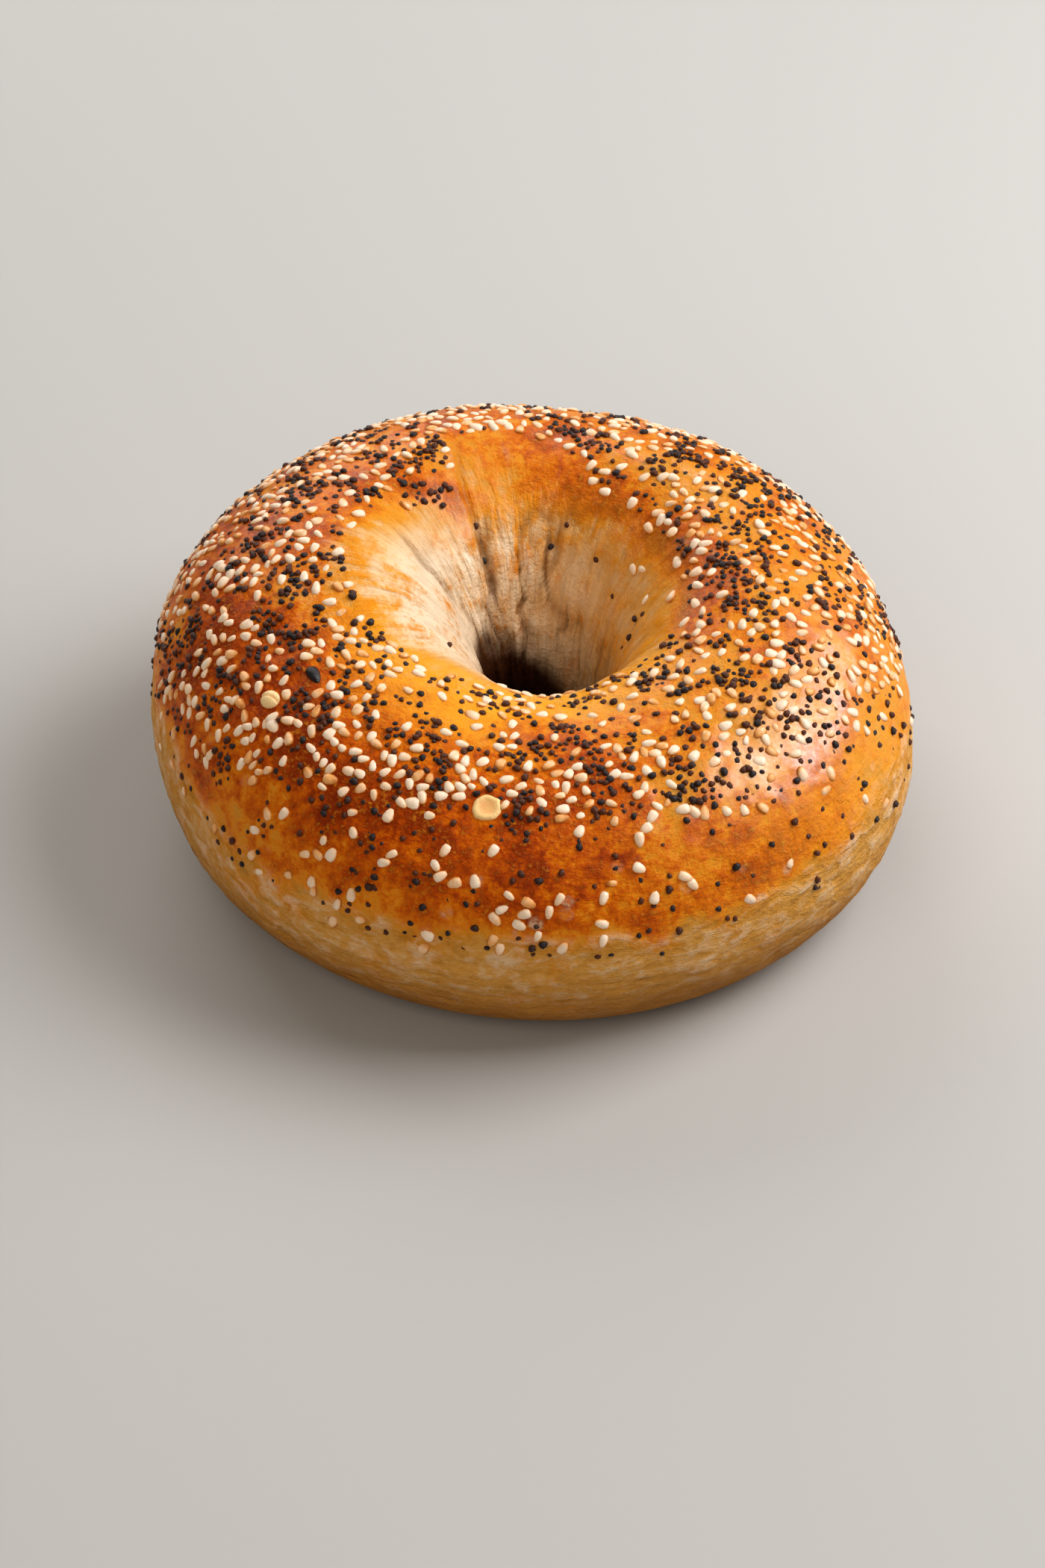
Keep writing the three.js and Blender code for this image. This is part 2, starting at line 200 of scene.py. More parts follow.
# How dense seeds lie where they are sparse, as a share of how dense they lie on the top.
LARGE_SPARSE, SMALL_SPARSE, POPPY_SPARSE = 0.1, 0.05, 0.1

# How much further in the small seeds lie beside the seam, and less far on the right lip: ring
# angle, half width and change in tube angle. They thin out to either side of the lower edge.
SMALL_REACH = ((131, 17, 15), (352, 38, -8))
SMALL_FADE = 11

# Larger toppings: ring angle, tube angle, spin, length, width and thickness.
ONION_FLAKE = (261.5, 63, 0, 4.4 * MM, 4.1 * MM, 1.7 * MM)
GARLIC_CHIP = (211.5, 60, 30, 3.3 * MM, 2.9 * MM, 2.2 * MM)
BLACK_CUMIN = (213.5, 76, -8, 3.4 * MM, 1.9 * MM, 1.5 * MM)

# Seeds that lie as a star, points inward: ring angle, tube angle, number and radius.
STAR = (239.3, 59.5, 6, 2.3 * MM)

# Seeds alone or in short rows on the thinly seeded low side: ring angle and tube angle of the
# first seed, number of seeds, and the steps in both angles to the next one.
ROWS = (
    (269.5, 30.5, 3, -0.7, -4.3), (264.5, 23.5, 2, -0.3, -8.5), (274.5, 13.5, 1, 0, 0),
    (297, 56.5, 3, 1.7, -1.8), (304, 50.5, 3, 3, -2.5), (275.8, 64.5, 2, -0.3, -3.4),
    (294, 33.5, 2, 0.9, -3.5), (293, 60.5, 4, -1.6, -3.4), (240, 14, 2, -0.5, -7.5),
    (244, 11.5, 2, -2, 8), (255.5, 45, 2, 0, -9), (257.8, 34.5, 2, 3.2, 2),
    (247, 38.5, 2, -0.8, -3.5), (237.5, 30.5, 3, -2.2, -2.3), (263.5, 48, 1, 0, 0),
    (224.2, 30.5, 2, 2.8, 3.5), (223, 22.5, 2, 0.5, -9), (215.2, 37.5, 2, 3.6, -1.5),
    (247.8, 57.5, 1, 0, 0), (321.8, 36.5, 1, 0, 0),
)

# Seeds on the near lip of the hole: ring angle of each, and how the lip's tube angle bends.
LIP_RINGS = (254, 262, 268, 275, 282.5, 289)
LIP_RING, LIP_TUBE, LIP_BEND = 266, 116, 0.0085

# Spots where loose seeds stick to the wall of the hole.
STRAY_SESAME = ((33.3, 130.5), (28.8, 128.4), (13.3, 132.2), (6.3, 115.5))
STRAY_POPPY = (
    (116, 134.7), (116, 124.3), (80.3, 132.7), (74, 125.8), (55.3, 134.2), (37.8, 140.8), (9, 137.5),
    (5.8, 134), (3.3, 141.3), (5, 145.9), (312, 116.2), (208.5, 128.6),
)

# Middles of the clusters of poppy seeds. The thick ones lie on top, the thin ones low on the near
# side.
POPPY_CLUSTERS = (
    (349.5, 90), (335.5, 70.5), (324, 90), (5.2, 104), (314, 102), (280, 90), (286, 73), (301, 65),
    (244, 77), (70.8, 70), (35.8, 73.5), (222, 68), (160, 68), (178, 66), (183, 84), (267, 70),
)
THIN_CLUSTERS = (
    (242.8, 44.8), (251.8, 42), (254, 57.5), (279.5, 56), (273.8, 43), (301.5, 47.5), (291.8, 27.5),
)
CLUSTER_RADIUS = 4.5 * MM
THIN_SHARE = 0.08

# Least distance from a poppy seed to a large sesame seed, a small one and a flake, and from a
# small sesame seed to a flake.
POPPY_GAPS = (1.4 * MM, 1.25 * MM, 2.4 * MM)
SESAME_FLAKE_GAP = 2.6 * MM

# -------------------- stage

CAMERA_TARGET = (-1.24 * MM, -18.09 * MM, 20.0 * MM)
CAMERA_LENS = 89.34
CAMERA_SENSOR = 36
FLOOR_HALF = 2.0
WARM_WHITE = (1.0, 0.97, 0.93)

# Name, direction from the bagel, distance, side, colour, setting of the power, and seen in gloss.
LAMPS = (
    ("Softbox", (0.70, 0.15, 0.70), 0.7, 0.5, (0.98, 0.96, 0.94), "key_power", True),
    ("Back light", (-0.35, 0.78, 0.52), 0.8, 0.6, WARM_WHITE, "back_power", True),
    ("Fill", (-0.3, -0.72, 0.62), 0.9, 0.7, (1.0, 0.9, 0.76), "fill_power", False),
)


# -------------------- small helpers

HASH_MASK = 0xFFFFFFFF
LATTICE_PRIMES = np.array((73856093, 19349663, 83492791))


def smooth(value, low, high):
    """Smooth step: 0 below low, 1 above high, and 3 t^2 - 2 t^3 of the share t between them."""
    share = np.clip((value - low) / (high - low), 0.0, 1.0)
    return share * share * (3.0 - 2.0 * share)


def band(value, rise, fall):
    """1 between two soft edges: a smooth step up, times one down."""
    return smooth(value, *rise) * (1 - smooth(value, *fall))


def turn(angle):
    """Wraps an angle difference to -180..180 degrees."""
    return np.mod(angle + 180.0, 360.0) - 180.0


def hump(value, middle, width):
    """Bell curve round an angle: exp of minus the square of the turned distance over the width."""
    return np.exp(-((turn(value - middle) / width) ** 2))


def draw(index, salt):
    """Random numbers from 0 to 1 that depend only on whole numbers: two rounds of an integer hash."""
    bits = (np.atleast_1d(index).astype(np.uint64) + 1) * 0x9E3779B1 & HASH_MASK
    bits ^= (salt + 1) * 0x85EBCA77 & HASH_MASK
    bits = (bits ^ bits >> 15) * 0x2C1B3C6D & HASH_MASK
    bits = (bits ^ bits >> 12) * 0x297A2D39 & HASH_MASK
    return (bits ^ bits >> 15) / 2.0**32


def cloud(points, size, salt):
    """Soft random cloud, -1 to 1: random values on a cubic lattice, blended by smooth steps."""
    place = points / size
    cell = np.floor(place)
    share = place - cell
    share = share * share * (3.0 - 2.0 * share)
    total = np.zeros(place.shape[:-1])
    for corner in np.ndindex(2, 2, 2):
        key = np.bitwise_xor.reduce((cell.astype(np.int64) + corner) * LATTICE_PRIMES, axis=-1)
        value = draw((key & HASH_MASK).ravel(), salt).reshape(key.shape)
        total += value * np.prod(np.where(corner, share, 1.0 - share), axis=-1)
    return 2.0 * total - 1.0


def clouds(points, table):
    """Sum of clouds, each given as (height, size, salt)."""
    return sum(height * cloud(points, size, salt) for height, size, salt in table)


def around(ring, tube, radius, rise):
    """Points on a drum: x and y go round with the ring angle, z rises with the tube angle."""
    angle = np.radians(ring)
    return np.stack((radius * np.cos(angle), radius * np.sin(angle), rise * np.radians(tube)), axis=-1)


def unit(vectors):
    """Vectors of length one in the same directions."""
    return vectors / np.linalg.norm(vectors, axis=-1, keepdims=True)


def fold_ring(fold, tube):
    """Ring angle of a fold at a tube angle: straight lines between the points of its path."""
    tubes, rings, _ = zip(*fold[0])
    return np.interp(tube, (*tubes, FOLD_RETURN), (*rings, rings[0]))


# -------------------- dough


class Dough:
    """The ring of dough as functions of a ring angle and a tube angle, given as arrays."""

    def __init__(self, sizes):
        self.waist = sizes.waist_radius
        self.throat = sizes.throat_radius
        self.height = sizes.crest_height
        self.centre = np.zeros(3)
        outline = self.crust(np.arange(360.0), np.zeros(360))
        self.centre[:2] = (outline.min(axis=0) + outline.max(axis=0))[:2] / 2

    def girth(self, ring):
        """Waist radius, throat radius and crest height: each a size times one plus its waves."""
        angle = np.radians(ring)

        def waves(table):
            return sum(c * np.cos(n * angle) + s * np.sin(n * angle) for n, c, s in table)

        shift = THROAT_SHIFT[0] * np.cos(angle) + THROAT_SHIFT[1] * np.sin(angle)
        waist = self.waist * (1 + waves(WAIST_WAVES))
        return waist, self.throat + shift, self.height * (1 + waves(CREST_WAVES))

    def distance(self, ring, tube):
        """Distance from the axis: powers of the cosine swing from the crest to waist or throat."""
        waist, throat, _ = self.girth(ring)
        crest = throat + (waist - throat) * CREST_PLACE
        cosine = np.cos(np.radians(tube))
        angle = np.radians(ring)
        fullness = INNER_FULLNESS + INNER_FULLNESS_FAR * np.sin(angle)
        fullness = fullness + INNER_FULLNESS_SIDE * np.cos(angle) ** 2
        outward = (waist - crest) * np.maximum(cosine, 0) ** OUTER_FULLNESS
        inward = (crest - throat) * np.maximum(-cosine, 0) ** fullness
        return crest + outward - inward

    def level(self, ring, tube):
        """Height before the base is cut: from the middle line up by a power of the sine."""
        height = self.girth(ring)[2]
        cosine, sine = np.cos(np.radians(tube)), np.sin(np.radians(tube))
        middle = height * (WAIST_LEVEL * (1 + cosine) + THROAT_LEVEL * (1 - cosine)) / 2
        above = middle + (height - middle) * np.maximum(sine, 0) ** TOP_FULLNESS
        return np.where(sine > 0, above, middle * (1 + sine))

    def flatten(self, ring, z):
        """Cuts the lowest part off flat with a parabola as its edge, and keeps the full height."""
        height = self.girth(ring)[2]
        cut = BASE_CUT * height
        rounding = cut * BASE_ROUNDING
        over = z - cut
        edge = (over + rounding) ** 2 / (4 * rounding)
        flat = np.where(over <= -rounding, 0.0, np.where(over < rounding, edge, over))
        return flat * height / (height - cut)

    def groove(self, fold, ring, tube, spread=1.0):
        """Depth of a fold in millimetres: that along its path, times a bell curve across it."""
        tubes, _, depths = zip(*fold[0])
        across = turn(ring - fold_ring(fold, tube)) * np.radians(1) * self.distance(ring, tube)
        return np.interp(tube, tubes, depths) * np.exp(-((across / (fold[1] * spread)) ** 2))

    def swell(self, ring, tube):
        """Slow swells: a sum of sines with whole numbers of cycles in both angles."""
        number = np.arange(SWELL_COUNT)
        ring_cycles = 2 + np.floor(SWELL_MOST_CYCLES * draw(number, 10))
        tube_cycles = np.floor(3 * draw(number, 11)) - 1
        phases = 2 * np.pi * draw(number, 12)
        total = 0.0
        for n, m, phase in zip(ring_cycles, tube_cycles, phases):
            total = total + np.sin(n * np.radians(ring) + m * np.radians(tube) + phase)
        return SWELL_HEIGHT * total / math.sqrt(SWELL_COUNT)

    def tongue(self, ring, tube):
        """How far a place lies in the sunk tongue, 0 to 1: a step at the seam that fades rightward."""
        arc = np.radians(1) * self.distance(ring, tube)
        past = -turn(ring - fold_ring(SEAM, tube)) * arc
        rise = (TONGUE_TOP - TONGUE_FADE / 2, TONGUE_TOP + TONGUE_FADE)
        span = band(tube, rise, (TONGUE_FOOT - TONGUE_FADE, TONGUE_FOOT + TONGUE_FADE))
        fade = np.exp(-((np.maximum(past, 0) / TONGUE_WIDTH) ** 2))
        return smooth(past, -TONGUE_EDGE, TONGUE_EDGE) * fade * span

    def reach(self, tube):
        """Where relief may stand: 1 over the dough, 0 on the flat base."""
        return 1 - smooth(-np.sin(np.radians(tube)), *RELIEF_FADE)

    def relief(self, ring, tube):
        """Swells, less a groove along each fold and the sunk tongue."""
        height = self.swell(ring, tube) - TONGUE_DEPTH * self.tongue(ring, tube)
        for fold in FOLDS:
            height = height - MM * self.groove(fold, ring, tube)
        return height * self.reach(tube)

    def crust(self, ring, tube, extra=0.0):
        """Point of the crust: relief and any extra height stand along the tube's own direction."""
        angle, lean = np.radians(ring), np.radians(tube)
        height = self.relief(ring, tube) + extra
        rho = self.distance(ring, tube) + height * np.cos(lean)
        z = self.flatten(ring, self.level(ring, tube) + height * np.sin(lean))
        return np.stack((rho * np.cos(angle), rho * np.sin(angle), z), axis=-1) - self.centre

    def strands(self, ring, tube, place):
        """Strands of torn dough down the far wall of the hole: 0 in the cracks between, 1 on top.

        Each of two sets is the size of a cloud that is drawn out downwards, cut off at a limit.
        The second result says where they lie, 0 to 1."""
        wavy = ring + clouds(place, STRAND_WAVER)
        top = 0.0
        for share, number, stretch, salt in STRANDS:
            size = np.abs(cloud(around(wavy, tube, 1.0, stretch), 1 / number, salt))
            top = top + share * np.minimum(size / STRAND_LIMIT, 1)
        return top, band(tube, *STRAND_BAND) * (0.2 + 0.8 * hump(ring, *STRANDS_MIDDLE))

    def fine(self, ring, tube):
        """Small relief: torn strands and crumbs in the hole, uneven skin, blisters, crags and pits.

        Blisters are the tops of a cloud. Crags are the hollows of one that is drawn out along the
        pale side, and a pit is a bell curve of the distance from its spot."""
        place = self.crust(ring, tube)
        top, where = self.strands(ring, tube, place)
        blisters = 0.22 * np.maximum(cloud(place, 1.7 * MM, 27) - 0.35, 0)
        drum = around(ring, tube, DRUM_RADIUS, CRAG_RISE)
        crags = 0.6 * np.minimum(cloud(drum * (0.5, 0.5, 1.6), 3.2 * MM, 28) + 0.4, 0)
        crags = crags + 0.12 * cloud(drum * (0.7, 0.7, 1.5), 1.3 * MM, 17)
        low = (1 - smooth(tube, 0, 14)) * (1 - smooth(tube, 190, 250))
        torn = (STRAND_HEIGHT * (top - 1) + clouds(place, CRUMBS)) * where
        height = MM * (torn + clouds(place, SKIN) + blisters + crags * low)
        for pit in self.crust(*np.array(PITS).T):
            away = np.linalg.norm(place - pit, axis=-1)
            height = height - PIT_DEPTH * np.exp(-((away / PIT_RADIUS) ** 2))
        return height * self.reach(tube)

    def surface(self, ring, tube):
        """Point of the crust with its small relief."""
        return self.crust(ring, tube, self.fine(ring, tube))

    def lay(self, ring, tube):
        """Place on the crust and the three directions there: round the ring, over it and outward."""
        step = 0.5
        along = unit(self.crust(ring + step, tube) - self.crust(ring - step, tube))
        over = unit(self.crust(ring, tube + step) - self.crust(ring, tube - step))
        normal = unit(np.cross(along, over))
        return self.surface(ring, tube), along, np.cross(normal, along), normal

    def leaned(self, ring, tube):
        """Leans grid lines so that those near a fold run along it."""
        result = ring + 0.0 * tube
        for fold in FOLDS:
            rings = [ring_angle for _, ring_angle, _ in fold[0]]
            middle = (min(rings) + max(rings)) / 2
            share = np.clip(turn(ring - middle) / FOLD_REACH, -1, 1)
            result = result + (fold_ring(fold, tube) - middle) * (1 - share**2) ** 2
        return result


# -------------------- shader nodes


def math_operator(operation, swapped=False):
    """Makes an operator that adds one Math node, with its two values swapped where it's reflected."""

    def add_node(wire, other):
        first, second = (other, wire) if swapped else (wire, other)
        return wire.tree.add("ShaderNodeMath", {"operation": operation}, {0: first, 1: second})

    return add_node


class Wire:
    """A number, vector or colour on a socket of a node tree. Its operators are for numbers."""

    def __init__(self, tree, socket):
        self.tree = tree
        self.socket = socket

    __add__ = math_operator("ADD")
    __radd__ = math_operator("ADD", swapped=True)
    __sub__ = math_operator("SUBTRACT")
    __rsub__ = math_operator("SUBTRACT", swapped=True)
    __mul__ = math_operator("MULTIPLY")
    __rmul__ = math_operator("MULTIPLY", swapped=True)


class Tree:
    """The nodes of one material round its Principled shader."""

    def __init__(self, name):
        self.material = bpy.data.materials.new(name)
        self.material.use_nodes = True
        self.tree = self.material.node_tree
        self.shader = self.tree.nodes["Principled BSDF"]
        self.place = self.add("ShaderNodeTexCoord", output="Object")

    def plug(self, socket, value):
        """Links a wire to a socket, or sets the socket to a number, vector or colour."""
        if isinstance(value, Wire):
            self.tree.links.new(value.socket, socket)
        elif socket.type == "RGBA":
            socket.default_value = (*value[:3], 1.0)
        else:
            socket.default_value = value

    def add(self, kind, settings=None, inputs=None, output=0):
        """Adds a node: first its settings, then the values or links of its sockets."""
        node = self.tree.nodes.new(kind)
        for name, value in (settings or {}).items():
            if name == "stops":
                self.set_stops(node.color_ramp.elements, value)
            else:
                setattr(node, name, value)
        for key, value in (inputs or {}).items():
            self.plug(node.inputs[key], value)
        return Wire(self, node.outputs[output])

    def set_stops(self, elements, stops):
        """Gives a colour ramp its stops, as (place, colour)."""
        while len(elements) < len(stops):
            elements.new(0.5)
        for element, (place, colour) in zip(elements, stops):
            element.position = place
            element.color = (*colour[:3], 1.0)

    def attribute(self, name):
        """Number that the mesh holds at each vertex."""
        return self.add("ShaderNodeAttribute", {"attribute_name": name}, output="Fac")

    def flow(self, stretch):
        """The mesh's own drum coordinates, in metres, with each axis multiplied."""
        vector = self.add("ShaderNodeAttribute", {"attribute_name": "flow"}, output="Vector")
        settings = {"operation": "MULTIPLY"}
        return self.add("ShaderNodeVectorMath", settings, {0: vector, 1: stretch})

    def noise(self, size, detail, vector=None, rough=0.5, distort=0.0):
        """Noise with features of a size in metres, a half to either side of 0."""
        inputs = {"Vector": vector or self.place, "Scale": 1 / size, "Detail": detail,
                  "Roughness": rough, "Distortion": distort}
        return self.add("ShaderNodeTexNoise", {"noise_dimensions": "3D"}, inputs) - 0.5

    def cells(self, size, feature="F1"):
        """Distance inside random cells of a size in metres."""
        inputs = {"Vector": self.place, "Scale": 1 / size}
        return self.add("ShaderNodeTexVoronoi", {"feature": feature}, inputs)

    def step(self, value, low, high):
        """Smooth step of a number: 0 below low and 1 above high."""
        inputs = {"Value": value, "From Min": low, "From Max": high}
        return self.add("ShaderNodeMapRange", {"interpolation_type": "SMOOTHSTEP"}, inputs)

    def ramp(self, value, stops):
        """Colour from a number."""
        return self.add("ShaderNodeValToRGB", {"stops": stops}, {"Fac": value})

    def mix(self, factor, first, second):
        """Mixes two colours."""
        settings = {"data_type": "RGBA", "clamp_factor": True}
        return self.add("ShaderNodeMix", settings, {0: factor, 6: first, 7: second}, 2)

    def bump(self, height, strength=1.0):
        """Normal of a height in millimetres."""
        return self.add("ShaderNodeBump", None, {"Height": height, "Distance": MM, "Strength": strength})

    def finish(self, **sockets):
        """Sets the shader's sockets, named with underscores for spaces, and returns the material."""
        for name, value in sockets.items():
            self.plug(self.shader.inputs[name.replace("_", " ")], value)
        return self.material


# -------------------- making pieces


def make_piece(name, points, faces, material, numbers, vectors=None):
    """Puts points and faces into a smooth mesh, with its vertex numbers and vectors."""
    mesh = bpy.data.meshes.new(name)
    mesh.from_pydata(points.reshape(-1, 3).tolist(), [], faces)
    mesh.polygons.foreach_set("use_smooth", np.ones(len(faces), dtype=bool))
    for kind, key, layers in (("FLOAT", "value", numbers), ("FLOAT_VECTOR", "vector", vectors or {})):
        for layer_name, values in layers.items():
            layer = mesh.attributes.new(layer_name, kind, "POINT")
            layer.data.foreach_set(key, np.ravel(values).astype(np.float32))
    mesh.materials.append(material)
    mesh.update()
    piece = bpy.data.objects.new(name, mesh)
    bpy.context.scene.collection.objects.link(piece)
    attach(piece, BODY)
    return piece


def ring_faces(rings, tubes):
    """Quads of a grid that is closed both ways, as corner numbers."""
    i, j = np.meshgrid(np.arange(rings), np.arange(tubes), indexing="ij")
    nxt, above = (i + 1) % rings, (j + 1) % tubes
    corners = (i * tubes + j, nxt * tubes + j, nxt * tubes + above, i * tubes + above)
    return np.stack(corners, axis=-1).reshape(-1, 4).tolist()


def pod(rings, sides):
    """A closed pod with a point at each end: two angles of each point in radians, from end to end
    and round it, and its faces, which are a fan at each end and quads between the rings."""
    ends = np.repeat(np.arange(1, rings + 1) * np.pi / (rings + 1), sides)
    rounds = np.tile(np.arange(sides) * 2 * np.pi / sides, rings)
    turns = np.arange(sides)
    after = (turns + 1) % sides
    faces = [np.stack((np.zeros_like(turns), 1 + turns, 1 + after), axis=-1)]
    for ring in range(rings - 1):
        low, high = 1 + ring * sides, 1 + (ring + 1) * sides
        faces.append(np.stack((low + turns, high + turns, high + after, low + after), axis=-1))
    last = 1 + (rings - 1) * sides
    end = np.full_like(turns, 1 + rings * sides)
    faces.append(np.stack((end, last + after, last + turns), axis=-1))
    return np.concatenate(([0.0], ends, [np.pi])), np.concatenate(([0.0], rounds, [0.0])), faces


def sesame_shape():
    """Teardrop cushion: a squared ellipsoid that narrows towards its far end."""
    end, side, faces = pod(4, 8)
    x, girth = -np.cos(end), np.sin(end) ** 0.7
    y = girth * np.cos(side) * (1 - 0.24 * x)
    z = np.sin(end) ** 0.6 * np.sin(side) * (1 - 0.1 * x)
    return np.stack((x, y, z), axis=-1) / 2, faces


def poppy_shape():
    """Kidney: an ellipsoid whose middle is pushed sideways by a parabola."""
    end, side, faces = pod(3, 6)
    x, girth = -np.cos(end), np.sin(end)
    y = girth * np.cos(side) + 0.28 * (x * x - 0.5)
    return np.stack((x, y, girth * np.sin(side)), axis=-1) / 2, faces


def onion_shape():
    """Round disc with a rolled rim, a dished middle, a faintly lobed edge and two small tips.

    The poles are its middles above and below; the radius swings with cosines of the angle. The
    last result is the shade of each point, 0 at the rim and more in the dish."""
    end, side, faces = pod(15, 40)
    radius = np.sin(end) ** 0.55
    edge = 1 + 0.03 * np.cos(3 * side + 1) + 0.02 * np.cos(7 * side)
    edge = edge + 0.13 * (hump(np.degrees(side), 48, 9) + 0.8 * hump(np.degrees(side), 232, 10))
    x, y = radius * edge * np.cos(side), radius * edge * np.sin(side)
    dish = 0.55 * (1 - smooth(radius, 0.35, 0.95))
    z = -np.cos(end) * np.where(end > np.pi / 2, 1 - dish, 0.6)
    return np.stack((x, y, z), axis=-1) / 2, faces, 0.75 * (1 - smooth(radius, 0.35, 0.85))


def garlic_shape():
    """Smooth dome with a curved crack and a cap that stands on one side of it.

    The crack is a bell curve of the distance from a parabola. The crack and the foot are darker."""
    end, side, faces = pod(15, 32)
    x, y, z = np.sin(end) * np.cos(side), np.sin(end) * np.sin(side), -np.cos(end)
    bend = y - 0.28 + 0.35 * x * x
    crack = np.exp(-((bend / 0.09) ** 2)) * smooth(z, 0.0, 0.5)
    cap = smooth(bend, 0.0, 0.25) * smooth(z, 0.0, 0.4)
    lift = 1 + 0.07 * cap - 0.16 * crack
    shade = np.clip(1.2 * crack + 0.25 * (1 - smooth(z, -0.1, 0.6)), 0, 1)
    return np.stack((x, y, z), axis=-1) * lift[:, None] / 2, faces, shade


def cumin_shape():
    """Long teardrop with three blunt edges: its girth is a sine that swings three times round."""
    end, side, faces = pod(13, 18)
    x = -np.cos(end)
    girth = np.sin(end) ** 0.9 * (1 - 0.35 * x) * (1 + 0.07 * np.cos(3 * side))
    points = np.stack((x, girth * np.cos(side), girth * np.sin(side)), axis=-1) / 2
    return points, faces, np.full(len(end), 0.3)


def lay_all(dough, shape, spots, sizes, sunk, tilt, salt):
    """Copies a shape to many spots: scaled, tilted, turned about the normal and partly sunk."""
    local, faces = shape
    ring, tube, spin = spots
    number = np.arange(len(ring))
    place, along, over, normal = dough.lay(ring, tube)
    lean = np.radians(tilt) * (2 * draw(number, salt) - 1)
    roll = np.radians(tilt) * (2 * draw(number, salt + 1) - 1)
    spin = np.radians(spin)
    head = along * np.cos(spin)[:, None] + over * np.sin(spin)[:, None]
    head = unit(head + normal * np.tan(lean)[:, None])
    wing = unit(np.cross(normal, head))
    wing = unit(wing + normal * np.tan(roll)[:, None])
    top = np.cross(head, wing)
    axes = np.stack((head, wing, top), axis=1)
    points = np.einsum("vk,nk,nkc->nvc", local, sizes, axes)
    points += (place - normal * sunk[:, None])[:, None, :]
    start = number[:, None, None] * len(local)
    all_faces = []
    for group in faces:
        all_faces.extend((group + start).reshape(-1, group.shape[1]).tolist())
    return points, all_faces


# -------------------- where the toppings lie


def join(*groups):
    """Joins groups of seeds, each a row of arrays such as ring angle, tube angle and spin."""
    return tuple(np.concatenate(parts) for parts in zip(*groups))


def seed_density(ring, tube, sparse, reach=(), fade=0):
    """Share of the crust where seeds lie: 1 on the top, thin below it, 0 low down, in the hole and
    on the tongue. A reach moves the edge at the hole: ring angle, half width and change. A fade
    softens the lower edge."""
    inner = BARE_FROM + BARE_SWING * np.cos(np.radians(ring - BARE_SWING_AT))
    for at, width, change in reach:
        inner = inner + change * hump(ring, at, width)
    low = DENSE_LOW + DENSE_RISE * np.maximum(0, np.cos(np.radians(ring - DENSE_RISE_AT)))
    dense = smooth(tube, low - fade, low + fade) if fade else tube > low
    right = np.interp(tube, *zip(*TONGUE_RIGHT))
    bare = (tube > TONGUE_TOP) & (ring < fold_ring(SEAM, tube) + 2) & (ring > right)
    bare = bare | (tube > inner) | (tube < SPARSE_LOW)
    return np.where(bare, 0.0, sparse + (1 - sparse) * dense)


def pick_spots(dough, count, spacing, keep_off, chance, salt):
    """Random spots in order, kept where a draw is under the chance and none is nearer than the
    spacing. Points to keep off are given as (points, distance)."""
    trial = np.arange(40 * count)
    ring = 360 * draw(trial, salt)
    tube = SEED_FROM + (SEED_TO - SEED_FROM) * draw(trial, salt + 1)
    point = dough.crust(ring, tube)
    fits = draw(trial, salt + 2) < chance(ring, tube, point) * dough.distance(ring, tube) / dough.waist
    for others, gap in keep_off:
        for other in others:
            fits &= np.linalg.norm(point - other, axis=-1) > gap
    kept = []
    for k in np.flatnonzero(fits):
        if not kept or np.linalg.norm(point[kept] - point[k], axis=-1).min() > spacing:
            kept.append(k)
            if len(kept) == count:
                return trial[kept], ring[kept], tube[kept], point[kept]
    raise RuntimeError(f"only {len(kept)} of {count} spots were found")


def flake_points(dough):
    """Where the three large toppings lie."""
    flakes = np.array([flake[:2] for flake in (ONION_FLAKE, GARLIC_CHIP, BLACK_CUMIN)], dtype=float)
    return dough.crust(*flakes.T)


def named_sesame(dough):
    """Ring angle, tube angle, length and spin of the star, the lip's seeds and the short rows."""
    ring, tube, count, radius = STAR
    middle = dough.crust(np.array([ring]), np.array([tube]))[0]
    above = dough.crust(np.array([ring]), np.array([tube + 1.0]))[0]
    spin = 360 * np.arange(count) / count
    star_ring = ring + radius * np.cos(np.radians(spin)) / (np.radians(1) * dough.distance(ring, tube))
    star_tube = tube + radius * np.sin(np.radians(spin)) / np.linalg.norm(above - middle)
    star = (star_ring, star_tube, np.full(count, LARGE_LENGTH[0]), spin)
    places = [(at, LIP_TUBE + LIP_BEND * (at - LIP_RING) ** 2) for at in LIP_RINGS]
    for at, height, number, ring_step, tube_step in ROWS:
        places += [(at + k * ring_step, height + k * tube_step) for k in range(number)]
    number = np.arange(len(places))
    length = LARGE_LENGTH[0] + LARGE_LENGTH[1] * draw(number, 6)
    return join(star, (*np.array(places).T, length, 360 * draw(number, 7)))


def large_sesame(dough):
    """The seeds that stand in the CAD part too: those that are named, then the scattered ones."""
    named = named_sesame(dough)
    taken = np.concatenate((flake_points(dough), dough.crust(*named[:2])))

    def chance(ring, tube, _):
        return seed_density(ring, tube, LARGE_SPARSE)

    trial, ring, tube, _ = pick_spots(
        dough, LARGE_SEEDS, LARGE_SPACING, [(taken, LARGE_SPACING)], chance, 1)
    length = LARGE_LENGTH[0] + LARGE_LENGTH[1] * draw(trial, 4)
    return join(named, (ring, tube, length, 360 * draw(trial, 5)))


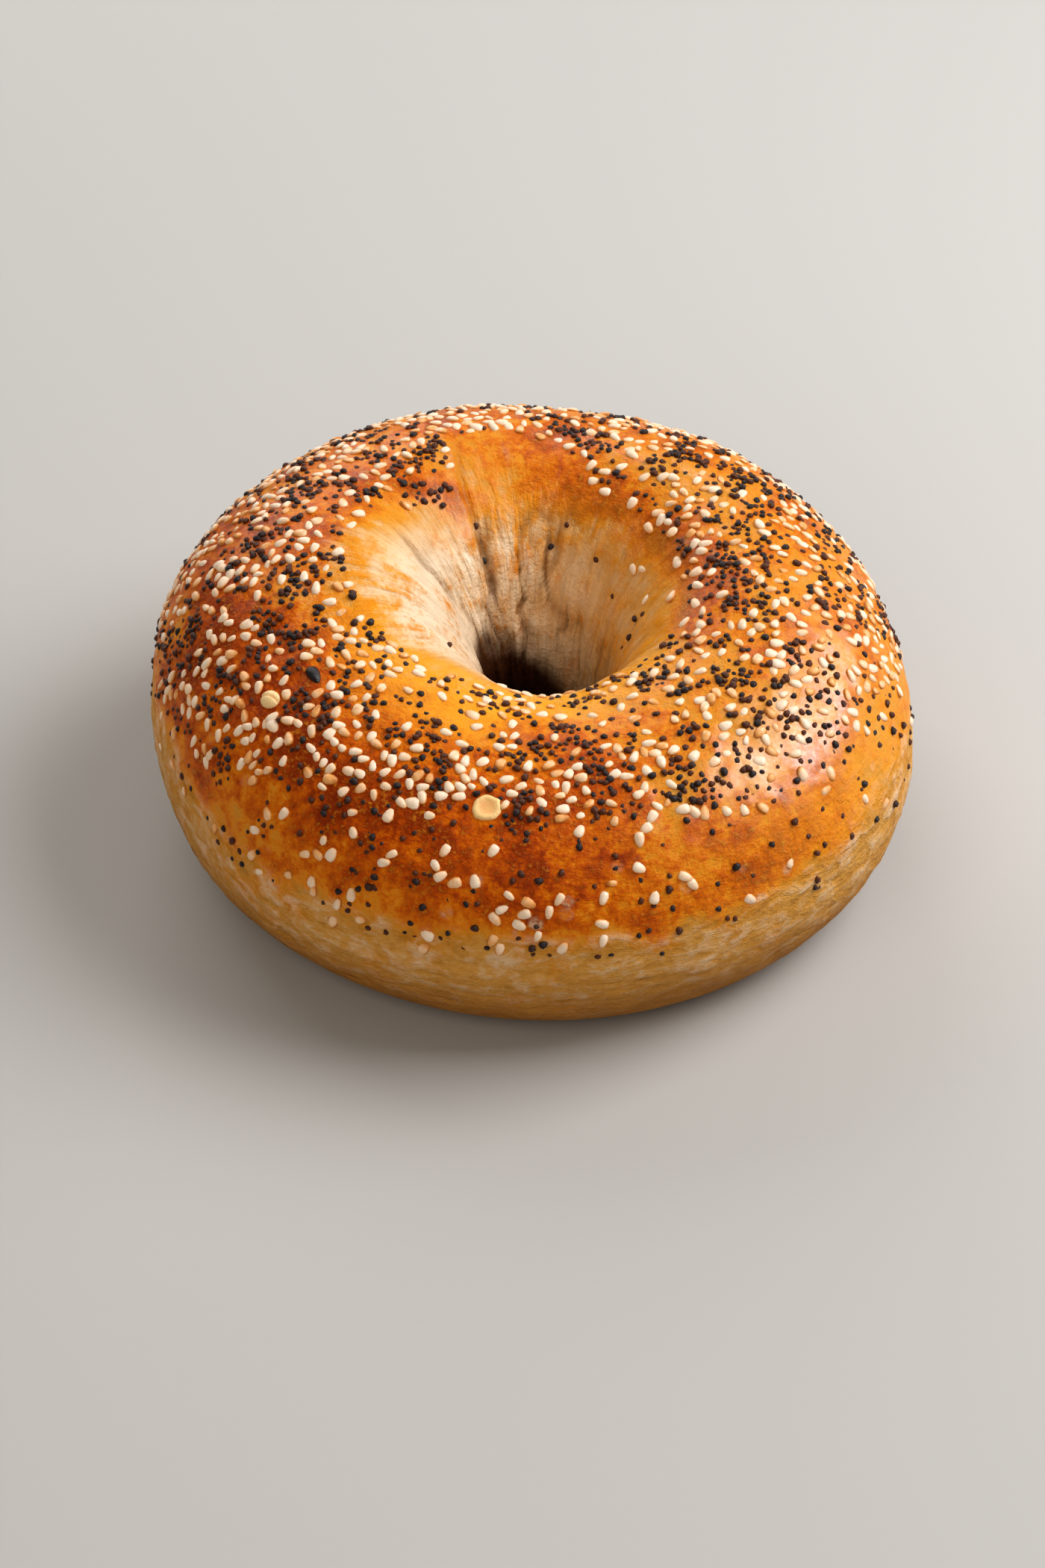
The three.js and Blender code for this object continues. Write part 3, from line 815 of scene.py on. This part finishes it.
def small_sesame(dough, seeds, large_points):
    """Smaller seeds between the large ones, in loose patches where neighbours lie alike, and a few
    stray ones in the hole. The second result is where the scattered ones lie."""

    def chance(ring, tube, point):
        patch = smooth(cloud(point, 6 * MM, 30) + 0.8 * cloud(point, 2.4 * MM, 29), -0.4, 0.3)
        sheen = hump(ring, 316, 26) * hump(tube, 58, 28)
        density = seed_density(ring, tube, SMALL_SPARSE, SMALL_REACH, SMALL_FADE)
        return density * (0.1 + 0.9 * patch) * (1 - 0.75 * sheen)

    keep_off = [(large_points, seeds.sesame_spacing), (flake_points(dough), SESAME_FLAKE_GAP)]
    trial, ring, tube, point = pick_spots(
        dough, seeds.sesame_count, seeds.sesame_spacing, keep_off, chance, 31)
    spin = 400 * cloud(point, 5 * MM, 36) + 60 * draw(trial, 35)
    stray_spin = 360 * draw(np.arange(len(STRAY_SESAME)), 37)
    ring, tube, spin = join((ring, tube, spin), (*np.array(STRAY_SESAME).T, stray_spin))
    length = seeds.sesame_length * (0.8 + 0.38 * draw(np.arange(len(ring)), 34))
    return (ring, tube, length, spin), point


def scattered_poppy(dough, seeds):
    """Ring angle and tube angle of the poppy seeds: in loose patches that are fuller on the left,
    in clusters that are bell curves of the distance from their middles, and strays in the hole."""
    large_points = dough.crust(*large_sesame(dough)[:2])
    _, small_points = small_sesame(dough, seeds, large_points)
    middles = dough.crust(*np.array(POPPY_CLUSTERS + THIN_CLUSTERS, dtype=float).T)
    shares = np.repeat((1, THIN_SHARE), (len(POPPY_CLUSTERS), len(THIN_CLUSTERS)))

    def chance(ring, tube, point):
        patch = smooth(cloud(point, 5 * MM, 60) + 0.5 * cloud(point, 2.4 * MM, 59), -0.05, 0.35)
        side = 0.6 + 0.4 * hump(ring, 195, 70) + 0.12 * hump(ring, 98, 34)
        patch = patch * side * (1 - 0.7 * hump(ring, 325, 70)) * (1 - 0.45 * hump(ring, 42, 17))
        density = seed_density(ring, tube, POPPY_SPARSE, SMALL_REACH, SMALL_FADE)
        likely = density * (0.12 + 0.88 * patch)
        for middle, share in zip(middles, shares):
            away = np.linalg.norm(point - middle, axis=-1)
            likely = np.maximum(likely, share * np.exp(-((away / CLUSTER_RADIUS) ** 2)))
        return likely * (density > 0)

    keep_off = zip((large_points, small_points, flake_points(dough)), POPPY_GAPS)
    _, ring, tube, _ = pick_spots(dough, seeds.poppy_count, seeds.poppy_spacing, keep_off, chance, 61)
    return join((ring, tube), np.array(STRAY_POPPY).T)


# -------------------- materials


def crust_material(crust):
    """Baked crust: a heat from the oven, unevened by noise, is turned into colours.

    Over it lie, in this order, pale and floury dough, the darker base, partly toast and partly painted
    shade, and its stains, the golden lip and wall, partly painted light on the hole's right wall, orange
    and cream ribs in the hole, bright grains, bald spots, the ridges of the strands, the folds with
    painted shade in them and the painted shade of the throat."""
    tree = Tree("Baked crust")
    bake, gold, funnel, moist, throat = (
        tree.attribute(name) for name in ("bake", "gold", "funnel", "moist", "throat"))
    blotch = tree.noise(12 * MM, 3)
    patch = tree.noise(4.5 * MM, 5, rough=0.62)
    mottle = tree.noise(1.9 * MM, 4, rough=0.62)
    grain = tree.noise(0.75 * MM, 3, rough=0.6)
    streak = tree.noise(7 * MM, 5, tree.flow((1, 1, 0.3)), 0.65, 0.9)
    fibre = tree.noise(2.4 * MM, 5, tree.flow((0.4, 0.4, 1)), 0.68, 0.5)
    ribs = tree.noise(4 * MM, 5, tree.flow((1, 1, 0.4)), 0.65, 1.2)
    wrinkle = tree.noise(1.1 * MM, 3, tree.flow((0.6, 0.6, 2.2)), 0.55, 0.8)
    brown = tree.step(bake, 0.2, 0.5)
    low = (1 - brown) * (1 - funnel)
    heat = bake + blotch * 1.1 + patch * 1.15 + mottle * (0.5 + 0.5 * brown) + grain * 0.6
    heat = heat + streak * funnel + fibre * low * 0.6
    cream = tree.attribute("cream") * (1 - tree.step(heat, 0.0, 0.5))
    flour = tree.step(fibre + mottle * 0.6 + patch * 0.4, -0.08, 0.26) * low * 0.62
    stain = tree.step(0.0 - fibre - mottle * 0.6, 0.02, 0.22) * low
    orange_ribs = tree.step(ribs + patch, 0.04, 0.3) * funnel * (0.15 + 0.3 * moist)
    cream_ribs = tree.step(0.0 - ribs - patch, 0.0, 0.25) * funnel * 0.28
    grains = tree.step(grain + mottle * 0.3, -0.02, 0.2) * tree.step(patch + blotch * 0.5, -0.05, 0.1)
    bald = (1 - tree.step(tree.cells(7 * MM), 0.08, 0.2)) * tree.step(mottle + grain * 0.5, -0.2, 0.2)
    colour = tree.ramp(heat, (
        (0.0, crust.pale_dough), (0.2, crust.tan_dough), (0.42, crust.golden_crust),
        (0.62, crust.orange_crust), (0.82, crust.brown_crust), (1.0, crust.dark_crust)))
    layers = (
        (cream + flour, crust.cream_dough),
        # The darker base is partly the toasted bottom and partly painted shade of the low side near the
        # floor.
        (tree.attribute("base") * (0.8 + patch), crust.base_toast_and_shade),
        (stain * 0.4, crust.base_toast_and_shade),
        (gold * (0.65 + patch * 1.5 + streak * 1.1), crust.bright_crust),
        (orange_ribs, crust.orange_crust),
        (cream_ribs, crust.cream_dough),
        (grains * brown * 0.42, crust.bright_crust),
        (bald * tree.attribute("bald") * 0.62, crust.cream_dough),
        (tree.attribute("ridge") * (0.35 + ribs * 2), crust.cream_dough),
        # Painted shade in the bottoms of the folds and in the cracks between the torn strands.
        (tree.attribute("fold") * (0.8 + mottle), crust.fold_painted_shade),
        # Painted shade: the throat number darkens the deep wall of the hole, blackest deepest in.
        (throat * 1.6, crust.throat_painted_shade),
        (tree.step(throat, 0.6, 1.0), crust.deep_throat_painted_shade),
    )
    for share, over in layers:
        colour = tree.mix(share, colour, over)
    height = patch * 0.4 + mottle * 0.35 + grain * 0.14 + grains * brown * 0.05
    height = height + wrinkle * brown * 0.22 + (streak + ribs) * funnel * 0.5 + fibre * low * 1.1
    height = height + moist * (mottle * 0.5 + grain * 0.3)
    return tree.finish(
        Base_Color=colour, Roughness=0.6 - brown * 0.2 + mottle * 0.25, Normal=tree.bump(height),
        Coat_Weight=brown * tree.attribute("gloss") * (0.8 + patch * 2 + grain * 2) + moist * 0.55,
        Coat_Roughness=0.27, Coat_IOR=1.75, IOR=1.45, Specular_IOR_Level=0.1)


def sesame_material(seeds):
    """Sesame: cream on top, tan at its tip and at its low rim, which is partly toast and partly painted
    shade next to the crust, and each seed toasted its own way.
    """
    tree = Tree("Sesame seed")
    stain = tree.noise(0.7 * MM, 3)
    toast = tree.attribute("tone") + tree.attribute("rim") * 0.7 + stain * 0.5
    colour = tree.ramp(toast, (
        (0.0, seeds.sesame_cream), (0.45, seeds.sesame_ivory), (0.75, seeds.sesame_tan),
        (1.0, seeds.sesame_toasted)))
    height = tree.noise(0.35 * MM, 2) * 0.02 + stain * 0.03
    return tree.finish(
        Base_Color=colour, Roughness=0.42 + stain * 0.2, Normal=tree.bump(height, 0.8), IOR=1.46)


def poppy_material(seeds):
    """Poppy: blue-black to brown-black shells with a fine net of ridges."""
    tree = Tree("Poppy seed")
    net = tree.step(tree.cells(0.2 * MM, "DISTANCE_TO_EDGE"), 0.0, 0.25)
    colour = tree.mix(tree.step(tree.attribute("tone"), 0.15, 0.75), seeds.poppy_blue, seeds.poppy_brown)
    colour = tree.mix(tree.noise(0.5 * MM, 2) * 0.5 + 0.25, colour, seeds.poppy_black)
    return tree.finish(Base_Color=colour, Roughness=0.42, Normal=tree.bump(net * -0.03), IOR=1.45)


def flake_material(name, pale, tan, rough, size):
    """Dried flake: two tones in soft stains, with a fine grain."""
    tree = Tree(name)
    stain = tree.noise(size, 4, rough=0.6)
    colour = tree.mix(tree.attribute("shade") + stain * 0.9, pale, tan)
    height = tree.noise(size / 3, 3) * 0.08 + stain * 0.12
    return tree.finish(Base_Color=colour, Roughness=rough + stain * 0.2, Normal=tree.bump(height, 0.9))


# -------------------- settings


def length_property(name, description, default):
    """A length in metres that a user may change."""
    return FloatProperty(name=name, description=description, default=default, min=0.0001,
                         unit="LENGTH", subtype="DISTANCE", precision=5)


def power_property(name, description, default):
    """A lamp's power in watts that a user may change."""
    return FloatProperty(name=name, description=description, default=default, min=0.0, unit="POWER")


def count_property(name, description, default):
    """A number of seeds that a user may change."""
    return IntProperty(name=name, description=description, default=default, min=1)


def colour_property(name, description, default):
    """A colour that a user may change."""
    return FloatVectorProperty(name=name, description=description, default=default, size=3,
                               min=0.0, max=1.0, subtype="COLOR")


class BagelCrustSettings(bpy.types.PropertyGroup):
    """Sizes and colours of the dough."""

    waist_radius: length_property("Waist radius", "Mean outer radius of the ring", 59 * MM)
    throat_radius: length_property("Throat radius", "Mean radius of the hole's throat", 7.9 * MM)
    crest_height: length_property("Crest height", "Mean height of the crest", 46.7 * MM)
    pale_dough: colour_property("Pale dough", "Dough that took no colour", (0.62, 0.315, 0.07))
    # Partly the toasted bottom, partly painted shade of the low side near the floor.
    base_toast_and_shade: colour_property("Base dough", "Dough low down, near the base", (0.36, 0.152, 0.028))
    tan_dough: colour_property("Tan dough", "Dough with a first tan", (0.61, 0.262, 0.028))
    golden_crust: colour_property("Golden crust", "Lightly baked crust", (0.68, 0.25, 0.014))
    orange_crust: colour_property("Orange crust", "Well baked crust", (0.60, 0.152, 0.002))
    brown_crust: colour_property("Brown crust", "Strongly baked crust", (0.44, 0.075, 0.001))
    dark_crust: colour_property("Dark crust", "The darkest patches", (0.26, 0.034, 0.001))
    bright_crust: colour_property("Bright crust", "Golden lip of the hole", (0.84, 0.365, 0.018))
    # Painted shade: darkens the bottoms of the folds and the cracks between strands.
    fold_painted_shade: colour_property("Fold", "Bottom of the folds", (0.20, 0.085, 0.02))
    cream_dough: colour_property("Cream dough", "Pale dough inside the hole", (0.78, 0.63, 0.46))
    # Painted shade: these two colours darken the deep wall of the hole, down to near black in the
    # throat.
    throat_painted_shade: colour_property("Throat", "Shaded wall deep in the hole", (0.055, 0.016, 0.003))
    deep_throat_painted_shade: colour_property("Deep throat", "Darkest wall of the throat", (0.006, 0.002, 0.001))


class BagelSeedSettings(bpy.types.PropertyGroup):
    """Numbers, sizes and colours of the toppings."""

    sesame_count: count_property("Small sesame", "Number of small sesame seeds", 1050)
    sesame_length: length_property("Sesame length", "Mean length of a small sesame seed", 2.12 * MM)
    sesame_spacing: length_property("Sesame spacing", "Least distance between seeds", 1.45 * MM)
    poppy_count: count_property("Poppy", "Number of poppy seeds", 2350)
    poppy_length: length_property("Poppy length", "Mean length of a poppy seed", 1.24 * MM)
    poppy_spacing: length_property("Poppy spacing", "Least distance between poppy seeds", 0.75 * MM)
    sesame_cream: colour_property("Sesame cream", "Palest seed", (0.84, 0.71, 0.58))
    sesame_ivory: colour_property("Sesame ivory", "Usual seed", (0.81, 0.58, 0.39))
    sesame_tan: colour_property("Sesame tan", "Toasted seed", (0.77, 0.38, 0.13))
    sesame_toasted: colour_property("Sesame toasted", "Darkest seed", (0.52, 0.20, 0.04))
    poppy_blue: colour_property("Poppy blue", "Blue-black shell", (0.03, 0.020, 0.021))
    poppy_brown: colour_property("Poppy brown", "Brown-black shell", (0.13, 0.036, 0.011))
    poppy_black: colour_property("Poppy black", "Black shell", (0.006, 0.006, 0.008))
    onion: colour_property("Onion", "Rim of the onion flake", (0.84, 0.58, 0.26))
    garlic: colour_property("Garlic", "Top of the garlic chip", (0.84, 0.62, 0.32))


class BagelStageSettings(bpy.types.PropertyGroup):
    """Camera, floor and light."""

    camera_elevation: FloatProperty(
        name="Camera elevation", description="Angle of the camera above the horizon",
        default=math.radians(41), unit="ROTATION", subtype="ANGLE")
    camera_distance: length_property("Camera distance", "From the camera to its target", 0.6)
    floor: colour_property("Floor", "Colour of the floor", (0.45, 0.445, 0.44))
    key_power: power_property("Key power", "Power of the softbox", 5.4)
    fill_power: power_property("Fill power", "Power of the fill light", 2.35)
    back_power: power_property("Back power", "Power of the light behind the bagel", 3.0)
    sky: FloatProperty(name="Sky", description="Strength of the even light", default=0.19, min=0.0)


# -------------------- operators


class BAGEL_OT_set_stage(bpy.types.Operator):
    """Sets the camera, the floor and a plain soft studio light"""

    bl_idname = "bagel.set_stage"
    bl_label = "Set the stage"

    def execute(self, context):
        stage, scene = context.scene.bagel_stage, context.scene
        slope = stage.camera_elevation
        back = Vector((0, -math.cos(slope), math.sin(slope)))
        scene.camera = self.aim(
            "Camera", bpy.data.cameras.new("Camera"), Vector(CAMERA_TARGET), back, stage.camera_distance)
        scene.camera.data.sensor_width = CAMERA_SENSOR
        scene.camera.data.lens = CAMERA_LENS
        for name, direction, distance, side, colour, power, glossy in LAMPS:
            towards = Vector(direction).normalized()
            lamp = self.aim(name, bpy.data.lights.new(name, "AREA"), Vector(), towards, distance)
            lamp.data.size = side
            lamp.data.color = colour
            lamp.data.energy = getattr(stage, power)
            lamp.visible_glossy = glossy
        scene.world = bpy.data.worlds.new("Even light")
        scene.world.use_nodes = True
        background = scene.world.node_tree.nodes["Background"]
        background.inputs["Color"].default_value = (*WARM_WHITE, 1.0)
        background.inputs["Strength"].default_value = stage.sky
        scene.view_settings.view_transform = "Standard"
        scene.view_settings.look = "Medium High Contrast"
        corners = np.array(((-1, -1, 0), (1, -1, 0), (1, 1, 0), (-1, 1, 0))) * FLOOR_HALF
        mesh = bpy.data.meshes.new("Floor")
        mesh.from_pydata(corners.tolist(), [], [(0, 1, 2, 3)])
        mesh.materials.append(Tree("Floor").finish(Base_Color=stage.floor, Roughness=0.85))
        self.add("Floor", mesh)
        return {"FINISHED"}

    def add(self, name, data):
        """Adds an object to the scene."""
        thing = bpy.data.objects.new(name, data)
        bpy.context.scene.collection.objects.link(thing)
        return thing

    def aim(self, name, data, target, direction, distance):
        """Adds an object that faces a target from a direction."""
        thing = self.add(name, data)
        thing.location = target + direction * distance
        thing.rotation_mode = "QUATERNION"
        thing.rotation_quaternion = direction.to_track_quat("Z", "Y")
        return thing


class BAGEL_OT_bake_ring(bpy.types.Operator):
    """Makes the baked ring of dough with its crust"""

    bl_idname = "bagel.bake_ring"
    bl_label = "Bake the ring"

    def execute(self, context):
        dough = Dough(context.scene.bagel_crust)
        lines = np.arange(RING_LINES) * 360.0 / RING_LINES
        over = np.linspace(BASE_OUTER_EDGE, BASE_INNER_EDGE, TUBE_LINES)
        under = np.linspace(BASE_INNER_EDGE, BASE_OUTER_EDGE + 360, BASE_LINES + 2)[1:-1]
        straight, tube = np.meshgrid(lines, np.concatenate((over, under)), indexing="ij")
        ring = dough.leaned(straight, tube)
        piece = make_piece(
            "baked_ring", dough.surface(ring, tube), ring_faces(*ring.shape),
            crust_material(context.scene.bagel_crust), self.oven_and_painted_light(dough, ring, tube),
            {"flow": around(ring, tube, DRUM_RADIUS, FLOW_RISE)})
        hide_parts(CAD_NODE)
        return {"FINISHED"}

    def oven_and_painted_light(self, dough, ring, tube):
        """What the oven did at each place, and where shade and light are painted: numbers of about 0 to
        1 for the crust's colours.

        Each is a product of soft bands of tube angles and bell curves of both angles, and two
        clouds make their edges uneven."""
        place = dough.crust(ring, tube)
        wide, near = cloud(place, 18 * MM, 40), cloud(place, 6 * MM, 41)
        tongue = dough.tongue(ring, tube)
        drip = DRIP_LINE + DRIP_HEIGHT * np.cos(np.radians(DRIP_COUNT * (ring - DRIP_AT)))
        drip = drip + 5 * near + 3 * wide
        inner = INNER_LINE + INNER_SWING * np.cos(np.radians(ring - INNER_SWING_AT))
        inner = inner + 4 * near + 2 * wide + 8 * hump(ring, *INNER_SEAM)
        outside = smooth(tube, drip + DRIP_FADE[0], drip + DRIP_FADE[1])
        inside = 1 - smooth(tube, inner - INNER_FADE, inner + INNER_FADE)
        inside = np.maximum(inside, tongue * (1 - smooth(tube, 102, 134)))
        level = BAKED_LEVEL + 0.1 * wide + 0.08 * near
        for at, height, ring_width, tube_width, change in BAKED_PATCHES:
            level = level + change * hump(ring, at, ring_width) * hump(tube, height, tube_width)
        lip = band(tube, (inner - 16, inner), (inner + 9, inner + 24)) * (1 - tongue)
        lip = lip * (0.25 + 0.75 * hump(ring, 258, 64) + 0.25 * hump(ring, 345, 40))
        # The golden wall round ring angle 340 is partly the dough's golden tone and partly painted light
        # that brightens the shaded right wall of the hole.
        wall = (hump(ring, 340, 72) + 0.55 * hump(ring, 95, 46)) * band(tube, *GOLDEN_WALL)
        side = hump(ring, 328, 26) * band(tube, *GOLDEN_SIDE)
        hollow_from = 113 - 27 * hump(ring, 190, 32) + 14 * hump(ring, 30, 60) + 4 * near
        hollow = band(tube, (hollow_from, hollow_from + 22), (230, 246))
        gloss = 0.38 * hump(ring, 60, 72) * hump(tube, 80, 32) + 0.1 * hump(tube, 92, 24)
        gloss = gloss * (1 - 0.5 * tongue) + hump(ring, 320, 34) * hump(tube, 54, 24)
        gloss = gloss + 0.08 * hump(ring, 180, 50) * hump(tube, 70, 20)
        # Painted shade of the throat: past a start angle that swings with the ring angle, the wall
        # darkens in two soft steps.
        start = 152 + 23 * hump(ring, 28, 50) - 3 * hump(ring, 150, 30) + 3 * near
        throat = 0.62 * smooth(tube, start, start + 8) + 0.38 * smooth(tube, start + 9, start + 24)
        top, torn = dough.strands(ring, tube, place)
        # Painted shade: the fold number darkens the grooves of the folds and the cracks between the torn
        # strands.
        fold = sum(dough.groove(f, ring, tube, 1.15) for f in FOLDS) / FOLD_DEEPEST
        fold = np.maximum(fold, torn * smooth(-top, -0.7, -0.2))
        return {
            "bake": np.clip(outside * inside * level, 0, 1),
            # Partly toasted bottom, partly painted shade near the floor.
            "base": smooth(-tube, -4, 30),
            "gold": np.clip(np.maximum(lip, 0.72 * wall) + 0.5 * side, 0, 1),
            "fold": np.clip(fold, 0, 1),
            "funnel": np.maximum(smooth(tube, hollow_from - 16, hollow_from + 6), 0.8 * tongue),
            "cream": hollow * (1 - 0.8 * hump(ring, 15, 62)) * (1 - 0.3 * hump(ring, 240, 22)),
            # Painted shade deep in the hole.
            "throat": throat * (1 - smooth(tube, 246, 262)),
            "bald": band(tube, *BALD_SIDE) * hump(ring, 290, 60),
            "gloss": 0.06 + 0.94 * np.clip(gloss, 0, 1),
            "moist": torn,
            "ridge": torn * smooth(top, 0.86, 1.0),
        }


class BAGEL_OT_scatter_sesame(bpy.types.Operator):
    """Strews the sesame seeds: the large ones of the CAD part and smaller ones between them"""

    bl_idname = "bagel.scatter_sesame"
    bl_label = "Strew sesame"

    def execute(self, context):
        dough, seeds = Dough(context.scene.bagel_crust), context.scene.bagel_seeds
        large = large_sesame(dough)
        small, _ = small_sesame(dough, seeds, dough.crust(*large[:2]))
        ring, tube, length, spin = join(large, small)
        number = np.arange(len(ring))
        width = length * (0.59 + 0.22 * draw(number, 50))
        sizes = np.stack((length, width, length * (0.38 + 0.16 * draw(number, 51))), axis=-1)
        shape = sesame_shape()
        sunk = SEED_SUNK * (0.2 + 1.6 * draw(number, 52))
        points, faces = lay_all(dough, shape, (ring, tube, spin), sizes, sunk, SESAME_TILT, 53)
        tone = 0.1 + 0.65 * draw(number, 55) ** 1.8
        # The rim is partly the seed's own toasting and partly painted shade on its underside next to the
        # crust. The tip is toast.
        rim = np.clip(1 - 2.6 * shape[0][:, 2], 0, 1) ** 1.5 + 0.4 * np.maximum(2 * shape[0][:, 0], 0)
        make_piece(
            "sesame_seeds", points, faces, sesame_material(seeds),
            {"tone": np.repeat(tone, len(rim)), "rim": np.tile(rim, len(tone))})
        return {"FINISHED"}


class BAGEL_OT_scatter_poppy(bpy.types.Operator):
    """Strews the poppy seeds in loose clusters between the sesame seeds"""

    bl_idname = "bagel.scatter_poppy"
    bl_label = "Strew poppy"

    def execute(self, context):
        dough, seeds = Dough(context.scene.bagel_crust), context.scene.bagel_seeds
        ring, tube = scattered_poppy(dough, seeds)
        number = np.arange(len(ring))
        length = seeds.poppy_length * (0.72 + 0.5 * draw(number, 64))
        sizes = length[:, None] * np.array((1.0, 0.86, 0.82))
        shape = poppy_shape()
        low = 1 - smooth(tube, 50, 64)
        sunk = length * (-0.15 + 0.4 * draw(number, 65) + 0.2 * low * draw(number, 68))
        spots = ring, tube, 360 * draw(number, 66)
        points, faces = lay_all(dough, shape, spots, sizes, sunk, POPPY_TILT, 67)
        tone = np.repeat(draw(number, 69), len(shape[0]))
        make_piece("poppy_seeds", points, faces, poppy_material(seeds), {"tone": tone})
        return {"FINISHED"}


class BAGEL_OT_lay_flakes(bpy.types.Operator):
    """Lays the onion flake, the garlic chip and the black cumin seed"""

    bl_idname = "bagel.lay_flakes"
    bl_label = "Lay the flakes"

    def execute(self, context):
        dough, seeds = Dough(context.scene.bagel_crust), context.scene.bagel_seeds
        onion = flake_material("Dried onion", seeds.onion, seeds.sesame_tan, 0.5, 0.9 * MM)
        garlic = flake_material("Dried garlic", seeds.garlic, seeds.sesame_tan, 0.45, 0.8 * MM)
        cumin = flake_material("Black cumin", seeds.poppy_black, seeds.poppy_blue, 0.35, 0.4 * MM)
        for name, shape, flake, material in (
                ("onion_flake", onion_shape(), ONION_FLAKE, onion),
                ("garlic_chip", garlic_shape(), GARLIC_CHIP, garlic),
                ("black_cumin_seed", cumin_shape(), BLACK_CUMIN, cumin)):
            spots = np.array(flake[:3], dtype=float)[:, None]
            sizes, sunk = np.array([flake[3:]]), np.array([SEED_SUNK])
            points, faces = lay_all(dough, shape[:2], spots, sizes, sunk, 0, 70)
            make_piece(name, points, faces, material, {"shade": shape[2]})
        return {"FINISHED"}


class BAGEL_PT_panel(bpy.types.Panel):
    """Sidebar panel of the bagel"""

    bl_idname = "BAGEL_PT_panel"
    bl_label = "Seeded bagel"
    bl_space_type = "VIEW_3D"
    bl_region_type = "UI"
    bl_category = "Bagel"

    def draw(self, context):
        for settings, group in SETTINGS.items():
            box = self.layout.box()
            for name in group.__annotations__:
                box.prop(getattr(context.scene, settings), name)
        for operator in OPERATORS:
            self.layout.operator(operator.bl_idname)


OPERATORS = (
    BAGEL_OT_set_stage,
    BAGEL_OT_bake_ring,
    BAGEL_OT_scatter_sesame,
    BAGEL_OT_scatter_poppy,
    BAGEL_OT_lay_flakes,
)
SETTINGS = {
    "bagel_crust": BagelCrustSettings,
    "bagel_seeds": BagelSeedSettings,
    "bagel_stage": BagelStageSettings,
}
CLASSES = (*SETTINGS.values(), *OPERATORS, BAGEL_PT_panel)


def register():
    """Registers the classes and the settings of the scene."""
    for cls in CLASSES:
        bpy.utils.register_class(cls)
    for name, group in SETTINGS.items():
        setattr(bpy.types.Scene, name, PointerProperty(type=group))


def unregister():
    """Takes the settings and the classes away again."""
    for name in SETTINGS:
        delattr(bpy.types.Scene, name)
    for cls in reversed(CLASSES):
        bpy.utils.unregister_class(cls)


def main():
    """Registers the add-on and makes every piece."""
    register()
    bpy.ops.bagel.set_stage()
    bpy.ops.bagel.bake_ring()
    bpy.ops.bagel.scatter_sesame()
    bpy.ops.bagel.scatter_poppy()
    bpy.ops.bagel.lay_flakes()


if __name__ == "__main__":
    main()
